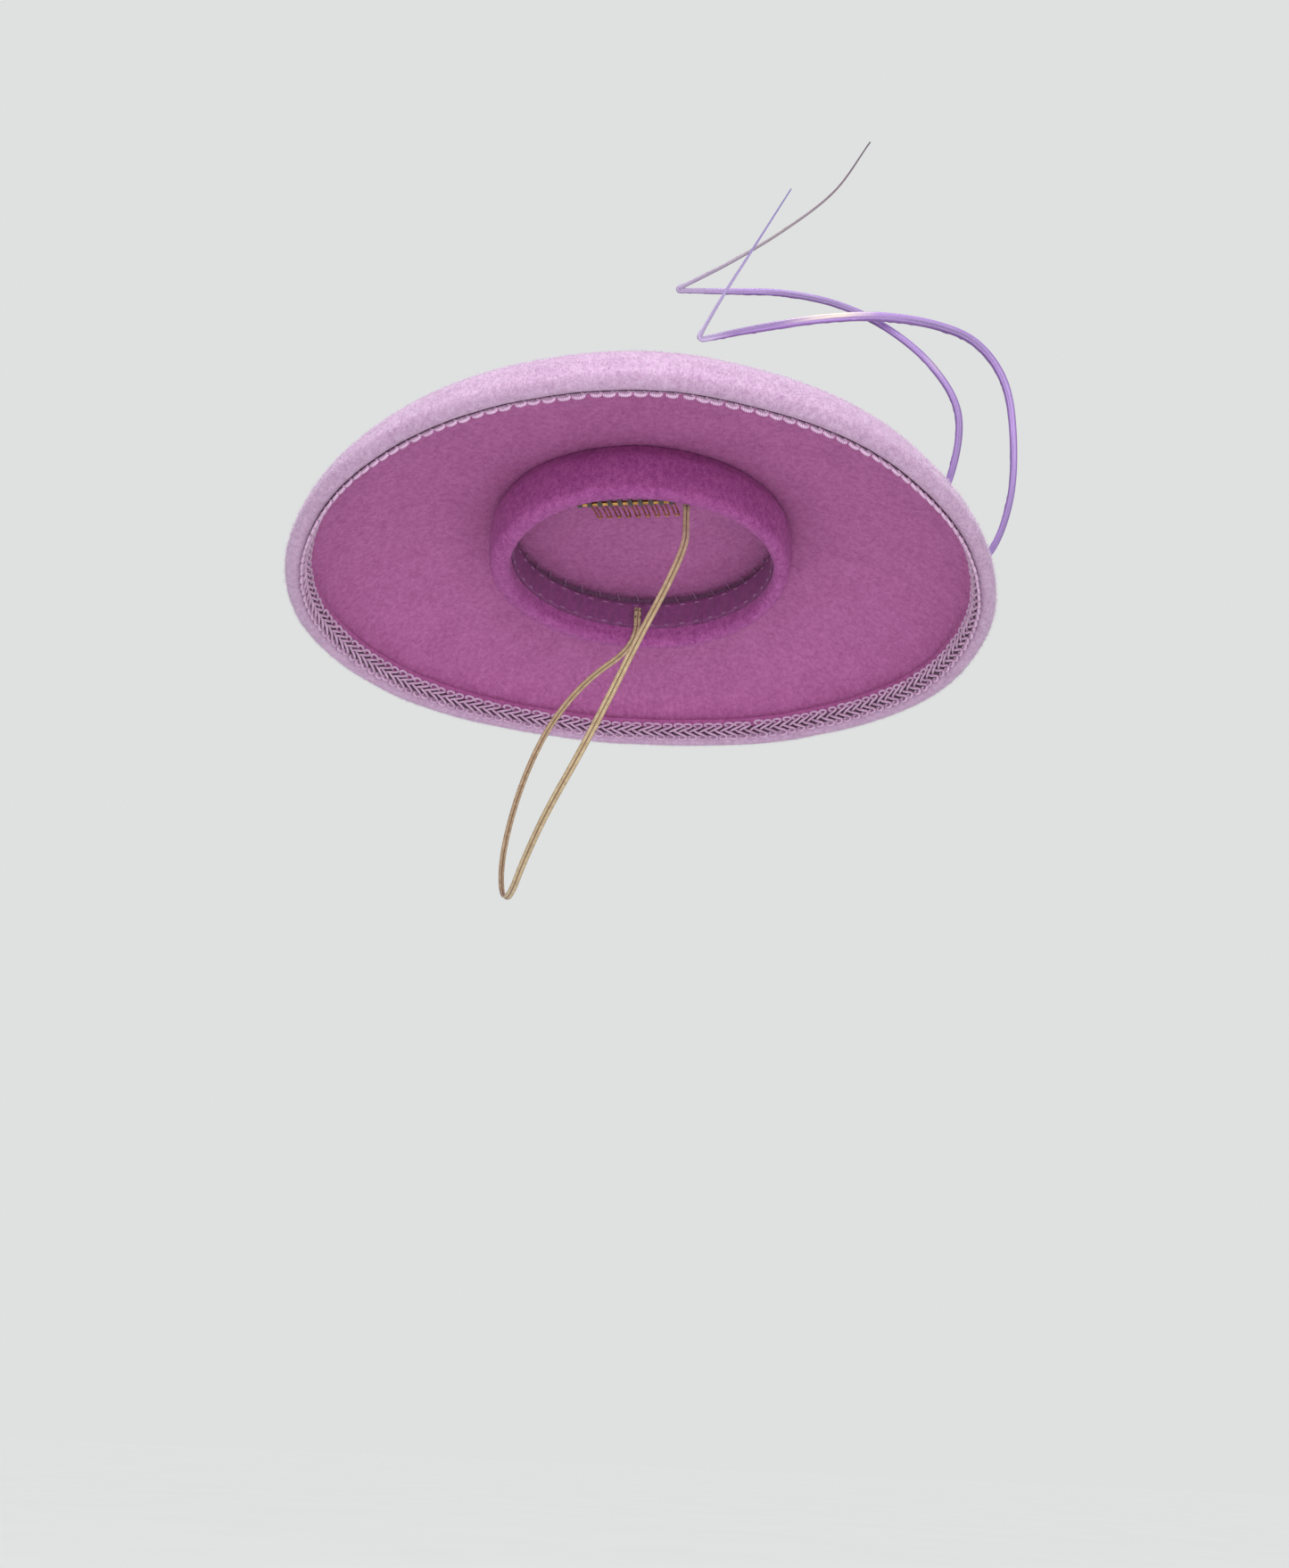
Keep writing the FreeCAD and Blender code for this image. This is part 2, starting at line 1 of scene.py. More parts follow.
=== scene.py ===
"""Looks of the felt fascinator, with the shapes that replace the CAD's plain ones.

Everything is in metres in the row frame: +Z is the hat's axis, the wearer faces -Y, and the origin is
the centre of the head ring's lower opening.
"""
import itertools
import math
import random

import bmesh
import bpy
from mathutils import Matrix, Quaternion, Vector, noise


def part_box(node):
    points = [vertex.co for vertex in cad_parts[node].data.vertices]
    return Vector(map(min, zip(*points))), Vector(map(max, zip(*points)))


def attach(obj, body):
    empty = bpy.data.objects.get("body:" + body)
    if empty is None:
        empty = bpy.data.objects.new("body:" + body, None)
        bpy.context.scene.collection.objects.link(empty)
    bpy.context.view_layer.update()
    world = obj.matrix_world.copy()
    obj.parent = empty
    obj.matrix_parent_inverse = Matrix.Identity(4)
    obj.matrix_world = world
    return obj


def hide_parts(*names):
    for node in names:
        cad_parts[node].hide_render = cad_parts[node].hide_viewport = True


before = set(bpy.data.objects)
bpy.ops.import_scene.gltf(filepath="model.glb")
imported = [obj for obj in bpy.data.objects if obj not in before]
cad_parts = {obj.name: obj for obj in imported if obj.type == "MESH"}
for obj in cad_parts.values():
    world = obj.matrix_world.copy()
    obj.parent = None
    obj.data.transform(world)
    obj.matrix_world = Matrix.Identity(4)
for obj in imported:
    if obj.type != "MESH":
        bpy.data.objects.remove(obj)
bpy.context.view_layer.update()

MM = 0.001
UP = Vector((0, 0, 1))
scene = bpy.context.scene
dice = random.Random(7)

# ---- sizes, as in the CAD: angles in degrees, wires and the comb's bar by their radius

CROWN_TOP = 31.6 * MM
CROWN_ARC = 566 * MM
SHOULDER_ARC = 170 * MM
EDGE_ARC = 33 * MM
CROWN_ANGLE = 9.1
SHOULDER_ANGLE = 24
EDGE_ANGLE = 70
HEM_ANGLE = 58
LIP = 4 * MM
FELT = 2.9 * MM
ROLL = 3.5 * MM
RIM_WIRE = 0.55 * MM

RING_BOTTOM_RADIUS = 64.5 * MM
RING_TOP_RADIUS = 65.5 * MM
RING_ROLL = 3.5 * MM
RING_FELT = 2.4 * MM
RING_HEM_TOP = 12 * MM
RING_WIRE = 0.9 * MM
PETERSHAM_RADIUS = 57.4 * MM
PETERSHAM_THICKNESS = 0.6 * MM
PETERSHAM_LOW = 8.3 * MM
PETERSHAM_HIGH = 21.3 * MM

COMB_AZIMUTH = math.radians(161.5)
COMB_DISTANCE = 52.2 * MM
COMB_HEIGHT = 6.4 * MM
COMB_BAR = 0.9 * MM
COMB_PITCH = 4.2 * MM
COMB_TEETH = 9

# Outside the head ring the blocked brim is a little saddle-shaped, and higher on the wearer's right.
RIGHT_LIFT = 1.4 * MM
SADDLE_RISE = 5.7 * MM
SADDLE_AZIMUTH = math.radians(263.5)
SADDLE_START = 66 * MM
SADDLE_END = 150 * MM
CROWN_SWELL = 1.1 * MM


# ---- small geometry helpers

def section_point(centre, radius, angle):
    """A point (r, z) of the section; angle is in degrees from straight up towards the outside."""
    turn = math.radians(angle)
    return Vector((centre[0] + radius * math.sin(turn), centre[1] + radius * math.cos(turn)))


def section_arc(centre, radius, start, end, steps):
    """Points of an arc, without its last point."""
    return [section_point(centre, radius, start + (end - start) * k / steps) for k in range(steps)]


def section_line(start, end, steps):
    """Points of a straight line, without its last point."""
    return [start.lerp(end, k / steps) for k in range(steps)]


def on_circle(radius, height, azimuth):
    return Vector((radius * math.cos(azimuth), radius * math.sin(azimuth), height))


def turns(count):
    """Angles evenly spaced round a full turn, in radians."""
    return [2 * math.pi * k / count for k in range(count)]


def smooth_share(value, low, high):
    share = min(1.0, max(0.0, (value - low) / (high - low)))
    return share * share * (3 - 2 * share)


crown_centre = Vector((0, CROWN_TOP - CROWN_ARC))
shoulder_centre = section_point(crown_centre, CROWN_ARC - SHOULDER_ARC, CROWN_ANGLE)
edge_centre = section_point(shoulder_centre, SHOULDER_ARC - EDGE_ARC, SHOULDER_ANGLE)
lip_run = Vector((math.cos(math.radians(EDGE_ANGLE)), -math.sin(math.radians(EDGE_ANGLE)))) * LIP
roll_centre = section_point(edge_centre, EDGE_ARC - ROLL, EDGE_ANGLE) + lip_run
hem_arc = EDGE_ARC - 2 * ROLL
# The outer surface's arcs: centre, radius, first and last angle, and steps.
brim_arcs = (
    (crown_centre, CROWN_ARC, 0, CROWN_ANGLE, 26),
    (shoulder_centre, SHOULDER_ARC, CROWN_ANGLE, SHOULDER_ANGLE, 14),
    (edge_centre, EDGE_ARC, SHOULDER_ANGLE, EDGE_ANGLE, 12),
)
ring_roll_centre = Vector((RING_BOTTOM_RADIUS - RING_ROLL, RING_ROLL))


def crown_height(radius, depth=0.0):
    """Height of the felt's outer surface, or of a surface that lies depth below it."""
    for centre, arc, _, limit, _ in brim_arcs:
        if radius <= section_point(centre, arc - depth, limit)[0]:
            return centre[1] + math.sqrt((arc - depth) ** 2 - (radius - centre[0]) ** 2)
    return roll_centre[1]


def settle(point):
    """Moves a point of the round brim to where the saddle-shaped, hand-blocked brim has it."""
    radius = math.hypot(point.x, point.y)
    swell = UP * CROWN_SWELL * (1 - min(1.0, radius / SADDLE_END) ** 2)
    if radius <= SADDLE_START:
        return point + swell
    share = ((radius - SADDLE_START) / (SADDLE_END - SADDLE_START)) ** 1.5
    azimuth = math.atan2(point.y, point.x)
    rise = -SADDLE_RISE * math.cos(2 * (azimuth - SADDLE_AZIMUTH)) * share
    rise += RIGHT_LIFT * math.cos(azimuth - math.pi) * share
    heading = Vector((math.cos(azimuth), math.sin(azimuth), 0))
    uneven = noise.noise(heading * 2.3) * 0.8 * MM + noise.noise(heading * 6.1) * 0.25 * MM
    push = noise.noise(heading * 3.1 + UP) * 0.6 * MM
    return point + swell + UP * (rise + uneven * share) + heading * push * share


def catmull_rom(points, steps):
    """A smooth line through the points, with steps samples for each stretch."""
    padded = [2 * points[0] - points[1], *points, 2 * points[-1] - points[-2]]
    line = []
    for a, b, c, d in zip(padded, padded[1:], padded[2:], padded[3:]):
        for k in range(steps):
            t = k / steps
            square = (2 * a - 5 * b + 4 * c - d) * t**2
            cube = (3 * b - a - 3 * c + d) * t**3
            line.append(0.5 * (2 * b + (c - a) * t + square + cube))
    line.append(points[-1].copy())
    return line


def circle_section(radius, sides):
    return [(radius * math.cos(turn), radius * math.sin(turn)) for turn in turns(sides)]


# A section's point this near the axis, in metres, is on it.
NO_RADIUS = 1e-7


def place_object(name, data):
    """Makes an object and puts it in the scene."""
    made = bpy.data.objects.new(name, data)
    scene.collection.objects.link(made)
    return made


class Build:
    """Vertices and faces of one piece. A vertex's mark is (length along, turn around, share of length)."""

    def __init__(self):
        self.points = []
        self.faces = []
        self.marks = []

    def add(self, point, along, around, share):
        """Adds a vertex with its mark, and returns its number."""
        self.points.append(point)
        self.marks.append((along, around, share))
        return len(self.points) - 1

    def tube(self, path, section, facing=None, closed=False):
        """Sweeps a section along a path. section(share) gives (x, y) pairs, facing(point) the y direction."""
        count = len(path)
        tangents = []
        for k in range(count):
            before = path[k - 1] if closed or k > 0 else path[k]
            after = path[(k + 1) % count] if closed or k < count - 1 else path[k]
            tangents.append((after - before).normalized())
        normal = tangents[0].orthogonal().normalized()
        length = 0.0
        base = len(self.points)
        sides = len(section(0.0))
        for k, (point, tangent) in enumerate(zip(path, tangents)):
            if k:
                length += (point - path[k - 1]).length
                turn = tangents[k - 1].rotation_difference(tangent)
                normal = turn @ normal
            if facing:
                normal = facing(point)
            normal = (normal - tangent * normal.dot(tangent)).normalized()
            across = tangent.cross(normal)
            share = k / (count - 1)
            for side, (x, y) in enumerate(section(share)):
                self.add(point + across * x + normal * y, length, side / sides, share)
        rings = count if closed else count - 1
        for k in range(rings):
            low = base + k * sides
            high = base + ((k + 1) % count) * sides
            for side in range(sides):
                after = (side + 1) % sides
                self.faces.append((low + side, high + side, high + after, low + after))
        if not closed:
            last = base + rings * sides
            self.faces.append(tuple(range(base, base + sides)))
            self.faces.append(tuple(reversed(range(last, last + sides))))

    def thread(self, path, radius, sides):
        self.tube(path, lambda share: circle_section(radius, sides))

    def hoop(self, path, radius, sides):
        self.tube(path, lambda share: circle_section(radius, sides), facing=lambda point: UP, closed=True)

    def lathe(self, section, count, warp):
        """Turns a closed section of (r, z) points about Z; a point on the axis is one pole."""
        rows = []
        length = 0.0
        for number, (radius, height) in enumerate(section):
            share = number / len(section)
            if number:
                length += (section[number] - section[number - 1]).length
            if radius < NO_RADIUS:
                rows.append([self.add(warp(UP * height), length, 0.0, share)] * count)
                continue
            row = []
            for k, turn in enumerate(turns(count)):
                row.append(self.add(warp(on_circle(radius, height, turn)), length, k / count, share))
            rows.append(row)
        for row, following in zip(rows, rows[1:] + rows[:1]):
            for k in range(count):
                after = (k + 1) % count
                face = tuple(dict.fromkeys((row[k], following[k], following[after], row[after])))
                if len(face) > 2:
                    self.faces.append(face)

    def fibre(self, foot, tip, width):
        """A tapered three-sided hair."""
        heading = (tip - foot).normalized()
        across = heading.orthogonal().normalized() * width
        base = len(self.points)
        for k, turn in enumerate(turns(3)):
            self.add(foot + Quaternion(heading, turn) @ across, 0.0, k / 3, 0.0)
        self.add(tip, (tip - foot).length, 0.0, 1.0)
        self.faces.extend([(base, base + 1, base + 3), (base + 1, base + 2, base + 3)])
        self.faces.extend([(base + 2, base, base + 3), (base + 2, base + 1, base)])

    def piece(self, name, body, material, slot, replaces=()):
        """Makes the object, with its body and the CAD nodes that it replaces; slot is not used."""
        mesh = bpy.data.meshes.new(name)
        mesh.from_pydata(self.points, [], self.faces)
        marks = mesh.attributes.new("marks", "FLOAT_VECTOR", "POINT")
        marks.data.foreach_set("vector", [value for mark in self.marks for value in mark])
        mesh.polygons.foreach_set("use_smooth", [True] * len(mesh.polygons))
        work = bmesh.new()
        work.from_mesh(mesh)
        bmesh.ops.recalc_face_normals(work, faces=work.faces)
        work.to_mesh(mesh)
        work.free()
        mesh.update()
        mesh.materials.append(material)
        made = place_object(name, mesh)
        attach(made, body)
        if replaces:
            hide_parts(*replaces)
        return made


# ---- materials

def linear(*colour):
    """A colour given as it looks on a screen, 0 to 255, as the shader wants it."""
    values = []
    for value in colour:
        share = value / 255
        values.append(share / 12.92 if share <= 0.04045 else ((share + 0.055) / 1.055) ** 2.4)
    return (*values, 1.0)


class Paint:
    """A node material, with short calls for the nodes that are used here."""

    def __init__(self, name, **settings):
        self.material = bpy.data.materials.new(name)
        self.material.use_nodes = True
        self.tree = self.material.node_tree
        self.shader = self.tree.nodes["Principled BSDF"]
        for socket, value in settings.items():
            self.shader.inputs[socket.replace("_", " ")].default_value = value

    def node(self, kind, **inputs):
        made = self.tree.nodes.new("ShaderNode" + kind)
        for socket, value in inputs.items():
            self.feed(made.inputs[socket.replace("_", " ")], value)
        return made

    def feed(self, socket, value):
        if isinstance(value, bpy.types.NodeSocket):
            self.tree.links.new(value, socket)
        else:
            socket.default_value = value

    def place(self):
        return self.node("TexCoord").outputs["Object"]

    def marks(self):
        made = self.node("Attribute")
        made.attribute_name = "marks"
        return made.outputs["Vector"]

    def parts(self, vector):
        return self.node("SeparateXYZ", Vector=vector).outputs

    def joined(self, x, y, z):
        return self.node("CombineXYZ", X=x, Y=y, Z=z).outputs["Vector"]

    def maths(self, operation, first, second=0.0):
        made = self.tree.nodes.new("ShaderNodeMath")
        made.operation = operation
        self.feed(made.inputs[0], first)
        self.feed(made.inputs[1], second)
        return made.outputs["Value"]

    def times(self, first, second):
        return self.maths("MULTIPLY", first, second)

    def plus(self, first, second):
        return self.maths("ADD", first, second)

    def wave(self, value, waves, operation="SINE"):
        """A sine or cosine that repeats this many times for each unit of the value."""
        return self.maths(operation, self.times(value, waves * 2 * math.pi))

    def noise(self, vector, scale, detail=2.0, roughness=0.5):
        """Smooth noise from 0 to 1; in object coordinates the scale is in cells per metre."""
        made = self.node("TexNoise", Vector=vector, Scale=scale, Detail=detail, Roughness=roughness)
        return made.outputs["Fac"]

    def spread(self, value, low, high, to_low=0.0, to_high=1.0):
        """Maps the values from low to high onto to_low to to_high, and stops at both ends."""
        made = self.node("MapRange", Value=value)
        ends = {"From Min": low, "From Max": high, "To Min": to_low, "To Max": to_high}
        for socket, number in ends.items():
            made.inputs[socket].default_value = number
        return made.outputs["Result"]

    def ramp(self, value, stops):
        """Colours, as they look on a screen, at positions from 0 to 1."""
        made = self.node("ValToRGB", Fac=value)
        elements = made.color_ramp.elements
        while len(elements) < len(stops):
            elements.new(0.5)
        for element, (position, colour) in zip(elements, stops):
            element.position = position
            element.color = linear(*colour)
        return made.outputs["Color"]

    def mix(self, share, first, second, blend="MIX"):
        made = self.tree.nodes.new("ShaderNodeMix")
        made.data_type = "RGBA"
        made.blend_type = blend
        self.feed(made.inputs[0], share)
        self.feed(made.inputs[6], first)
        self.feed(made.inputs[7], second)
        return made.outputs[2]

    def colour(self, value):
        self.tree.links.new(value, self.shader.inputs["Base Color"])

    def roughness(self, value, smooth, rough):
        self.tree.links.new(self.spread(value, 0.3, 0.7, smooth, rough), self.shader.inputs["Roughness"])

    def bump(self, height, distance, strength=1.0):
        made = self.node("Bump", Height=height, Distance=distance, Strength=strength)
        if self.shader.inputs["Normal"].is_linked:
            self.tree.links.new(self.shader.inputs["Normal"].links[0].from_socket, made.inputs["Normal"])
        self.tree.links.new(made.outputs["Normal"], self.shader.inputs["Normal"])

    def radial(self, across, along):
        """Object coordinates stretched into fibres that run in and out along the brim."""
        x, y, z = self.parts(self.place())
        radius = self.maths("SQRT", self.plus(self.times(x, x), self.times(y, y)))
        around = [self.times(self.maths("DIVIDE", value, radius), across) for value in (x, y)]
        return self.joined(*around, self.times(self.plus(radius, z), along))


def felt_material(name, deep, pale, sheen, tint):
    """Wool felt: matted fibres, faint mottling and a soft sheen."""
    paint = Paint(name, Roughness=0.92, Sheen_Weight=sheen, Sheen_Roughness=0.4, Sheen_Tint=tint)
    place = paint.place()
    mottle = paint.noise(place, 70.0, 3.0, 0.6)
    tufts = paint.noise(place, 420.0, 2.0, 0.7)
    matted = paint.noise(place, 1300.0, 2.0, 0.7)
    fibres = paint.noise(paint.radial(420.0, 300.0), 1.0, 3.0, 0.65)
    blend = paint.times(mottle, 0.12)
    for layer, weight, height, strength in (
        (tufts, 0.34, 0.5, 0.6),
        (matted, 0.34, 0.3, 0.8),
        (fibres, 0.2, 0.25, 0.6),
    ):
        blend = paint.plus(blend, paint.times(layer, weight))
        paint.bump(layer, height * MM, strength)
    paint.colour(paint.ramp(blend, [(0.4, deep), (0.6, pale)]))
    paint.roughness(matted, 0.84, 0.98)
    return paint.material


def cord_material(name, deep, pale, twist, roughness, sheen):
    """A cord whose yarn is wound round it: twist is the number of windings per metre."""
    paint = Paint(name, Roughness=roughness, Sheen_Weight=sheen)
    length, turn, _ = paint.parts(paint.marks())
    wave = paint.wave(paint.plus(paint.times(length, twist), turn), 1)
    patches = paint.noise(paint.place(), 260.0, 3.0, 0.6)
    blend = paint.plus(paint.spread(wave, -1.0, 1.0, 0.0, 0.45), paint.times(patches, 0.6))
    paint.colour(paint.ramp(blend, [(0.2, deep), (0.75, pale)]))
    paint.roughness(patches, roughness - 0.08, roughness + 0.12)
    paint.bump(wave, 0.12 * MM, 0.8)
    return paint.material


def thread_material(name, deep, pale):
    paint = Paint(name, Roughness=0.6, Sheen_Weight=0.3)
    grain = paint.noise(paint.place(), 1800.0, 2.0, 0.6)
    paint.colour(paint.ramp(grain, [(0.3, deep), (0.7, pale)]))
    paint.roughness(grain, 0.5, 0.75)
    paint.bump(grain, 0.08 * MM, 0.8)
    return paint.material


def metal_material(name, tarnished, bright, roughness):
    paint = Paint(name, Metallic=1.0, Roughness=roughness)
    scratches = paint.noise(paint.place(), 700.0, 4.0, 0.6)
    wear = paint.noise(paint.place(), 90.0, 3.0, 0.6)
    paint.colour(paint.ramp(wear, [(0.35, tarnished), (0.62, bright)]))
    paint.roughness(scratches, roughness - 0.08, roughness + 0.15)
    paint.bump(scratches, 0.02 * MM, 0.5)
    return paint.material


def woven_material(name, deep, pale, yarns, relief, groove=None):
    """Ribbon, or elastic if it has a groove: painted shade in the groove where its two ribs meet and along
    both edges.
    yarns is the number of weft picks per metre, and relief is how strongly they show in the colour."""
    paint = Paint(name, Roughness=0.6, Sheen_Weight=0.2 if groove else 0.08)
    length, turn, _ = paint.parts(paint.marks())
    weave = paint.wave(length, yarns)
    if not groove:
        weave = paint.times(weave, paint.wave(turn, 22))
    patches = paint.noise(paint.place(), 420.0, 3.0, 0.6)
    blend = paint.plus(paint.spread(weave, -1.0, 1.0, 0.0, relief), paint.times(patches, 1 - relief))
    woven = paint.ramp(blend, [(0.25, deep), (0.72, pale)])
    # Painted shade: the groove colour darkens the middle, where the ribs meet, and both edges of the band.
    if groove:
        across = paint.maths("ABSOLUTE", paint.wave(turn, 1, "COSINE"))
        middle = paint.spread(across, 0.08, 0.26, 0.9, 0.0)
        edges = paint.spread(across, 0.8, 0.98, 0.0, 0.6)
        woven = paint.mix(paint.maths("MAXIMUM", middle, edges), woven, linear(*groove))
    paint.colour(woven)
    paint.roughness(patches, 0.5, 0.75)
    paint.bump(weave, 0.08 * MM, 0.7)
    return paint.material


def band_material(name, deep, pale):
    """The stiff buckram band inside the ring: a coarse open weave."""
    paint = Paint(name, Roughness=0.85)
    x, y, z = paint.parts(paint.place())
    rows = paint.maths("SINE", paint.times(z, 5200.0))
    columns = paint.maths("SINE", paint.times(paint.maths("ARCTAN2", y, x), 330.0))
    weave = paint.maths("MAXIMUM", rows, columns)
    grain = paint.noise(paint.place(), 900.0, 2.0, 0.6)
    paint.colour(paint.ramp(grain, [(0.3, deep), (0.7, pale)]))
    paint.roughness(grain, 0.75, 0.95)
    paint.bump(weave, 0.15 * MM, 0.8)
    return paint.material


def quill_material(name, stops, cream_low, cream_high):
    """Stripped, dyed feather shaft: glossy horn with streaks along it, and painted shade along both
    edges. One side is bare, from the share cream_low to cream_high of its length."""
    paint = Paint(name, Roughness=0.32, Coat_Weight=0.35, Coat_Roughness=0.25, Sheen_Weight=0.1)
    length, turn, share = paint.parts(paint.marks())
    streak_place = paint.joined(paint.times(length, 14.0), paint.times(turn, 5.5), share)
    streaks = paint.noise(streak_place, 1.0, 3.0, 0.6)
    fine_place = paint.joined(paint.times(length, 60.0), paint.times(turn, 36.0), share)
    fine = paint.noise(fine_place, 1.0, 2.0, 0.6)
    side = paint.wave(turn, 1, "COSINE")
    body = paint.ramp(share, stops)
    shade = paint.ramp(streaks, [(0.32, (112, 92, 126)), (0.62, (255, 255, 255))])
    # Painted shade: both narrow edges of the shaft are mixed towards a dark purple.
    edge_shade = paint.spread(paint.maths("ABSOLUTE", side), 0.72, 1.0, 0.0, 0.45)
    coloured = paint.mix(edge_shade, paint.mix(0.75, body, shade, "MULTIPLY"), linear(96, 64, 120))
    bare = paint.times(paint.spread(share, cream_low, cream_low + 0.04), paint.spread(side, -0.35, 0.05))
    bare = paint.times(bare, paint.spread(share, cream_high - 0.05, cream_high, 1.0, 0.0))
    bare = paint.times(bare, paint.spread(streaks, 0.38, 0.5))
    paint.colour(paint.mix(bare, coloured, linear(222, 206, 196)))
    paint.roughness(fine, 0.24, 0.48)
    paint.bump(streaks, 0.25 * MM, 0.7)
    paint.bump(fine, 0.04 * MM, 0.4)
    return paint.material


brim_felt = felt_material("brim_felt", (174, 136, 171), (204, 172, 203), 0.38, (1, 0.9, 1, 1))
# Paler fibres for the brim's margin and edge: painted highlight where the fuzz catches the light.
brim_down_painted_highlight = felt_material("brim_down_painted_highlight", (210, 180, 212), (240, 222, 243), 0.45, (1, 0.97, 1, 1))
# The brim's underside: the same felt, darker and more saturated as painted shade, with less sheen.
brim_underside_painted_shade = felt_material("brim_underside_painted_shade", (162, 82, 140), (194, 114, 174), 0.12, (1, 0.6, 0.9, 1))
# The ring's felt is darker and more saturated than the brim's: painted shade, as the ring sits in shade
# against the head.
ring_felt = felt_material("ring_felt", (138, 53, 123), (182, 96, 165), 0.15, (1, 0.5, 0.9, 1))
# Near-black purple thread for the braid's core threads: painted shade that shows in the braid's gaps.
gimp_shade = thread_material("gimp_shade", (54, 20, 48), (92, 44, 80))
gimp = cord_material("gimp_cord", (172, 122, 166), (236, 202, 232), 1500.0, 0.45, 0.1)
lilac_thread = thread_material("lilac_thread", (120, 70, 115), (175, 125, 170))
brown_thread = thread_material("brown_thread", (38, 20, 26), (78, 46, 48))
gold = metal_material("gold_wire", (150, 104, 52), (214, 170, 98), 0.28)
steel = metal_material("millinery_wire", (120, 116, 120), (176, 172, 176), 0.4)
# The last colour is the painted shade in the elastic's groove and along its edges.
elastic_weave = woven_material("elastic_weave", (154, 124, 90), (216, 194, 156), 1250.0, 0.3, (110, 80, 54))
petersham_weave = woven_material("petersham_weave", (96, 38, 88), (150, 76, 138), 1600.0, 0.35)
buckram = band_material("buckram", (96, 60, 92), (134, 92, 128))
TALL_STOPS = [
    (0.0, (146, 104, 186)), (0.3, (166, 128, 202)), (0.62, (170, 136, 204)),
    (0.74, (168, 150, 178)), (0.84, (170, 156, 160)), (0.93, (128, 100, 118)), (1.0, (66, 38, 62)),
]
LOW_STOPS = [
    (0.0, (150, 110, 190)), (0.3, (170, 134, 206)), (0.6, (168, 130, 202)), (0.77, (162, 122, 196)),
    (0.8, (206, 186, 228)), (0.9, (176, 156, 216)), (1.0, (110, 88, 172)),
]
tall_horn = quill_material("tall_quill_horn", TALL_STOPS, 0.36, 0.4)
low_horn = quill_material("low_quill_horn", LOW_STOPS, 0.6, 0.72)


# ---- camera

CAMERA_PLACE = Vector((-586.8, 97.9, -347.3)) * MM
# From -Y towards +X, as the other views count it.
CAMERA_AZIMUTH = math.radians(260)
CAMERA_ELEVATION = math.radians(-22.9)
CAMERA_ROLL = math.radians(2.69)
CAMERA_LENS = 35.84


def make_camera():
    data = bpy.data.cameras.new("photo_view")
    data.lens = CAMERA_LENS
    data.sensor_width = 36
    data.clip_start = 0.01
    data.clip_end = 60
    camera = place_object("photo_view", data)
    back = on_circle(math.cos(CAMERA_ELEVATION), math.sin(CAMERA_ELEVATION), CAMERA_AZIMUTH - math.pi / 2)
    camera.rotation_mode = "QUATERNION"
    camera.rotation_quaternion = (-back).to_track_quat("-Z", "Y") @ Quaternion((0, 0, 1), CAMERA_ROLL)
    camera.location = CAMERA_PLACE
    scene.camera = camera


make_camera()


# ---- elastic

ELASTIC_ROUTE = [
    (-54.2, -8, 8), (-54.5, -8, -3), (-66, -6, -19), (-72.5, 2, -43), (-71.5, 12, -67),
    (-62, 21, -90), (-44.5, 29, -107.5), (-22, 36.5, -121), (4, 41.5, -133), (25, 44, -142),
    (41, 46, -138), (49, 47, -120), (54.5, 44, -96), (58.5, 38, -70), (60.5, 28.5, -44),
    (60, 13, -20), (54.5, -7.5, -3), (54.2, -8, 8),
]
ELASTIC_WIDTH = 3 * MM
ELASTIC_THICKNESS = 1.1 * MM
HEAD_CENTRE = Vector((0, 8, -72)) * MM


def band_section(share=0.0):
    """Two round ribs side by side, joined by a thinner middle."""
    half = ELASTIC_WIDTH / 2
    outline = []
    for turn in turns(24):
        x = half * math.cos(turn)
        rib = 0.2 + 0.8 * math.sin(math.pi * min(0.97, abs(x) / half * 0.98 + 0.01)) ** 0.7
        y = math.copysign(abs(math.sin(turn)) ** 0.6, math.sin(turn))
        outline.append((x, ELASTIC_THICKNESS / 2 * y * rib))
    return outline


def nurbs_line(name, points, resolution):
    """The line of a NURBS spline that has these points as its control points."""
    curve = bpy.data.curves.new(name, "CURVE")
    curve.dimensions = "3D"
    curve.resolution_u = resolution
    spline = curve.splines.new("NURBS")
    spline.points.add(len(points) - 1)
    for control, point in zip(spline.points, points):
        control.co = (*point, 1.0)
    spline.order_u = 3
    spline.use_endpoint_u = True
    holder = place_object(name, curve)
    bpy.context.view_layer.update()
    mesh = bpy.data.meshes.new_from_object(holder)
    line = [vertex.co.copy() for vertex in mesh.vertices]
    bpy.data.meshes.remove(mesh)
    bpy.data.objects.remove(holder)
    bpy.data.curves.remove(curve)
    return line


def make_elastic():
    line = nurbs_line("elastic_route", [Vector(point) * MM for point in ELASTIC_ROUTE], 14)
    build = Build()
    build.tube(line, band_section, facing=lambda point: point - HEAD_CENTRE)
    band = build.piece("elastic_band", "elastic", elastic_weave, "elastic", ["elastic"])


make_elastic()


# ---- brim

BRIM_COLUMNS = 288
WIRE_COLUMNS = 240
# The raw edge of the hem is rounded by this much, and by this many degrees.
RAW_EDGE = 0.4 * MM
RAW_EDGE_ANGLE = 1.2
# Share of the brim's section where its underside begins, past the roll: from there the felt has a darker copy
# of its colour, as painted shade.
UNDERSIDE_SHARE = 0.475


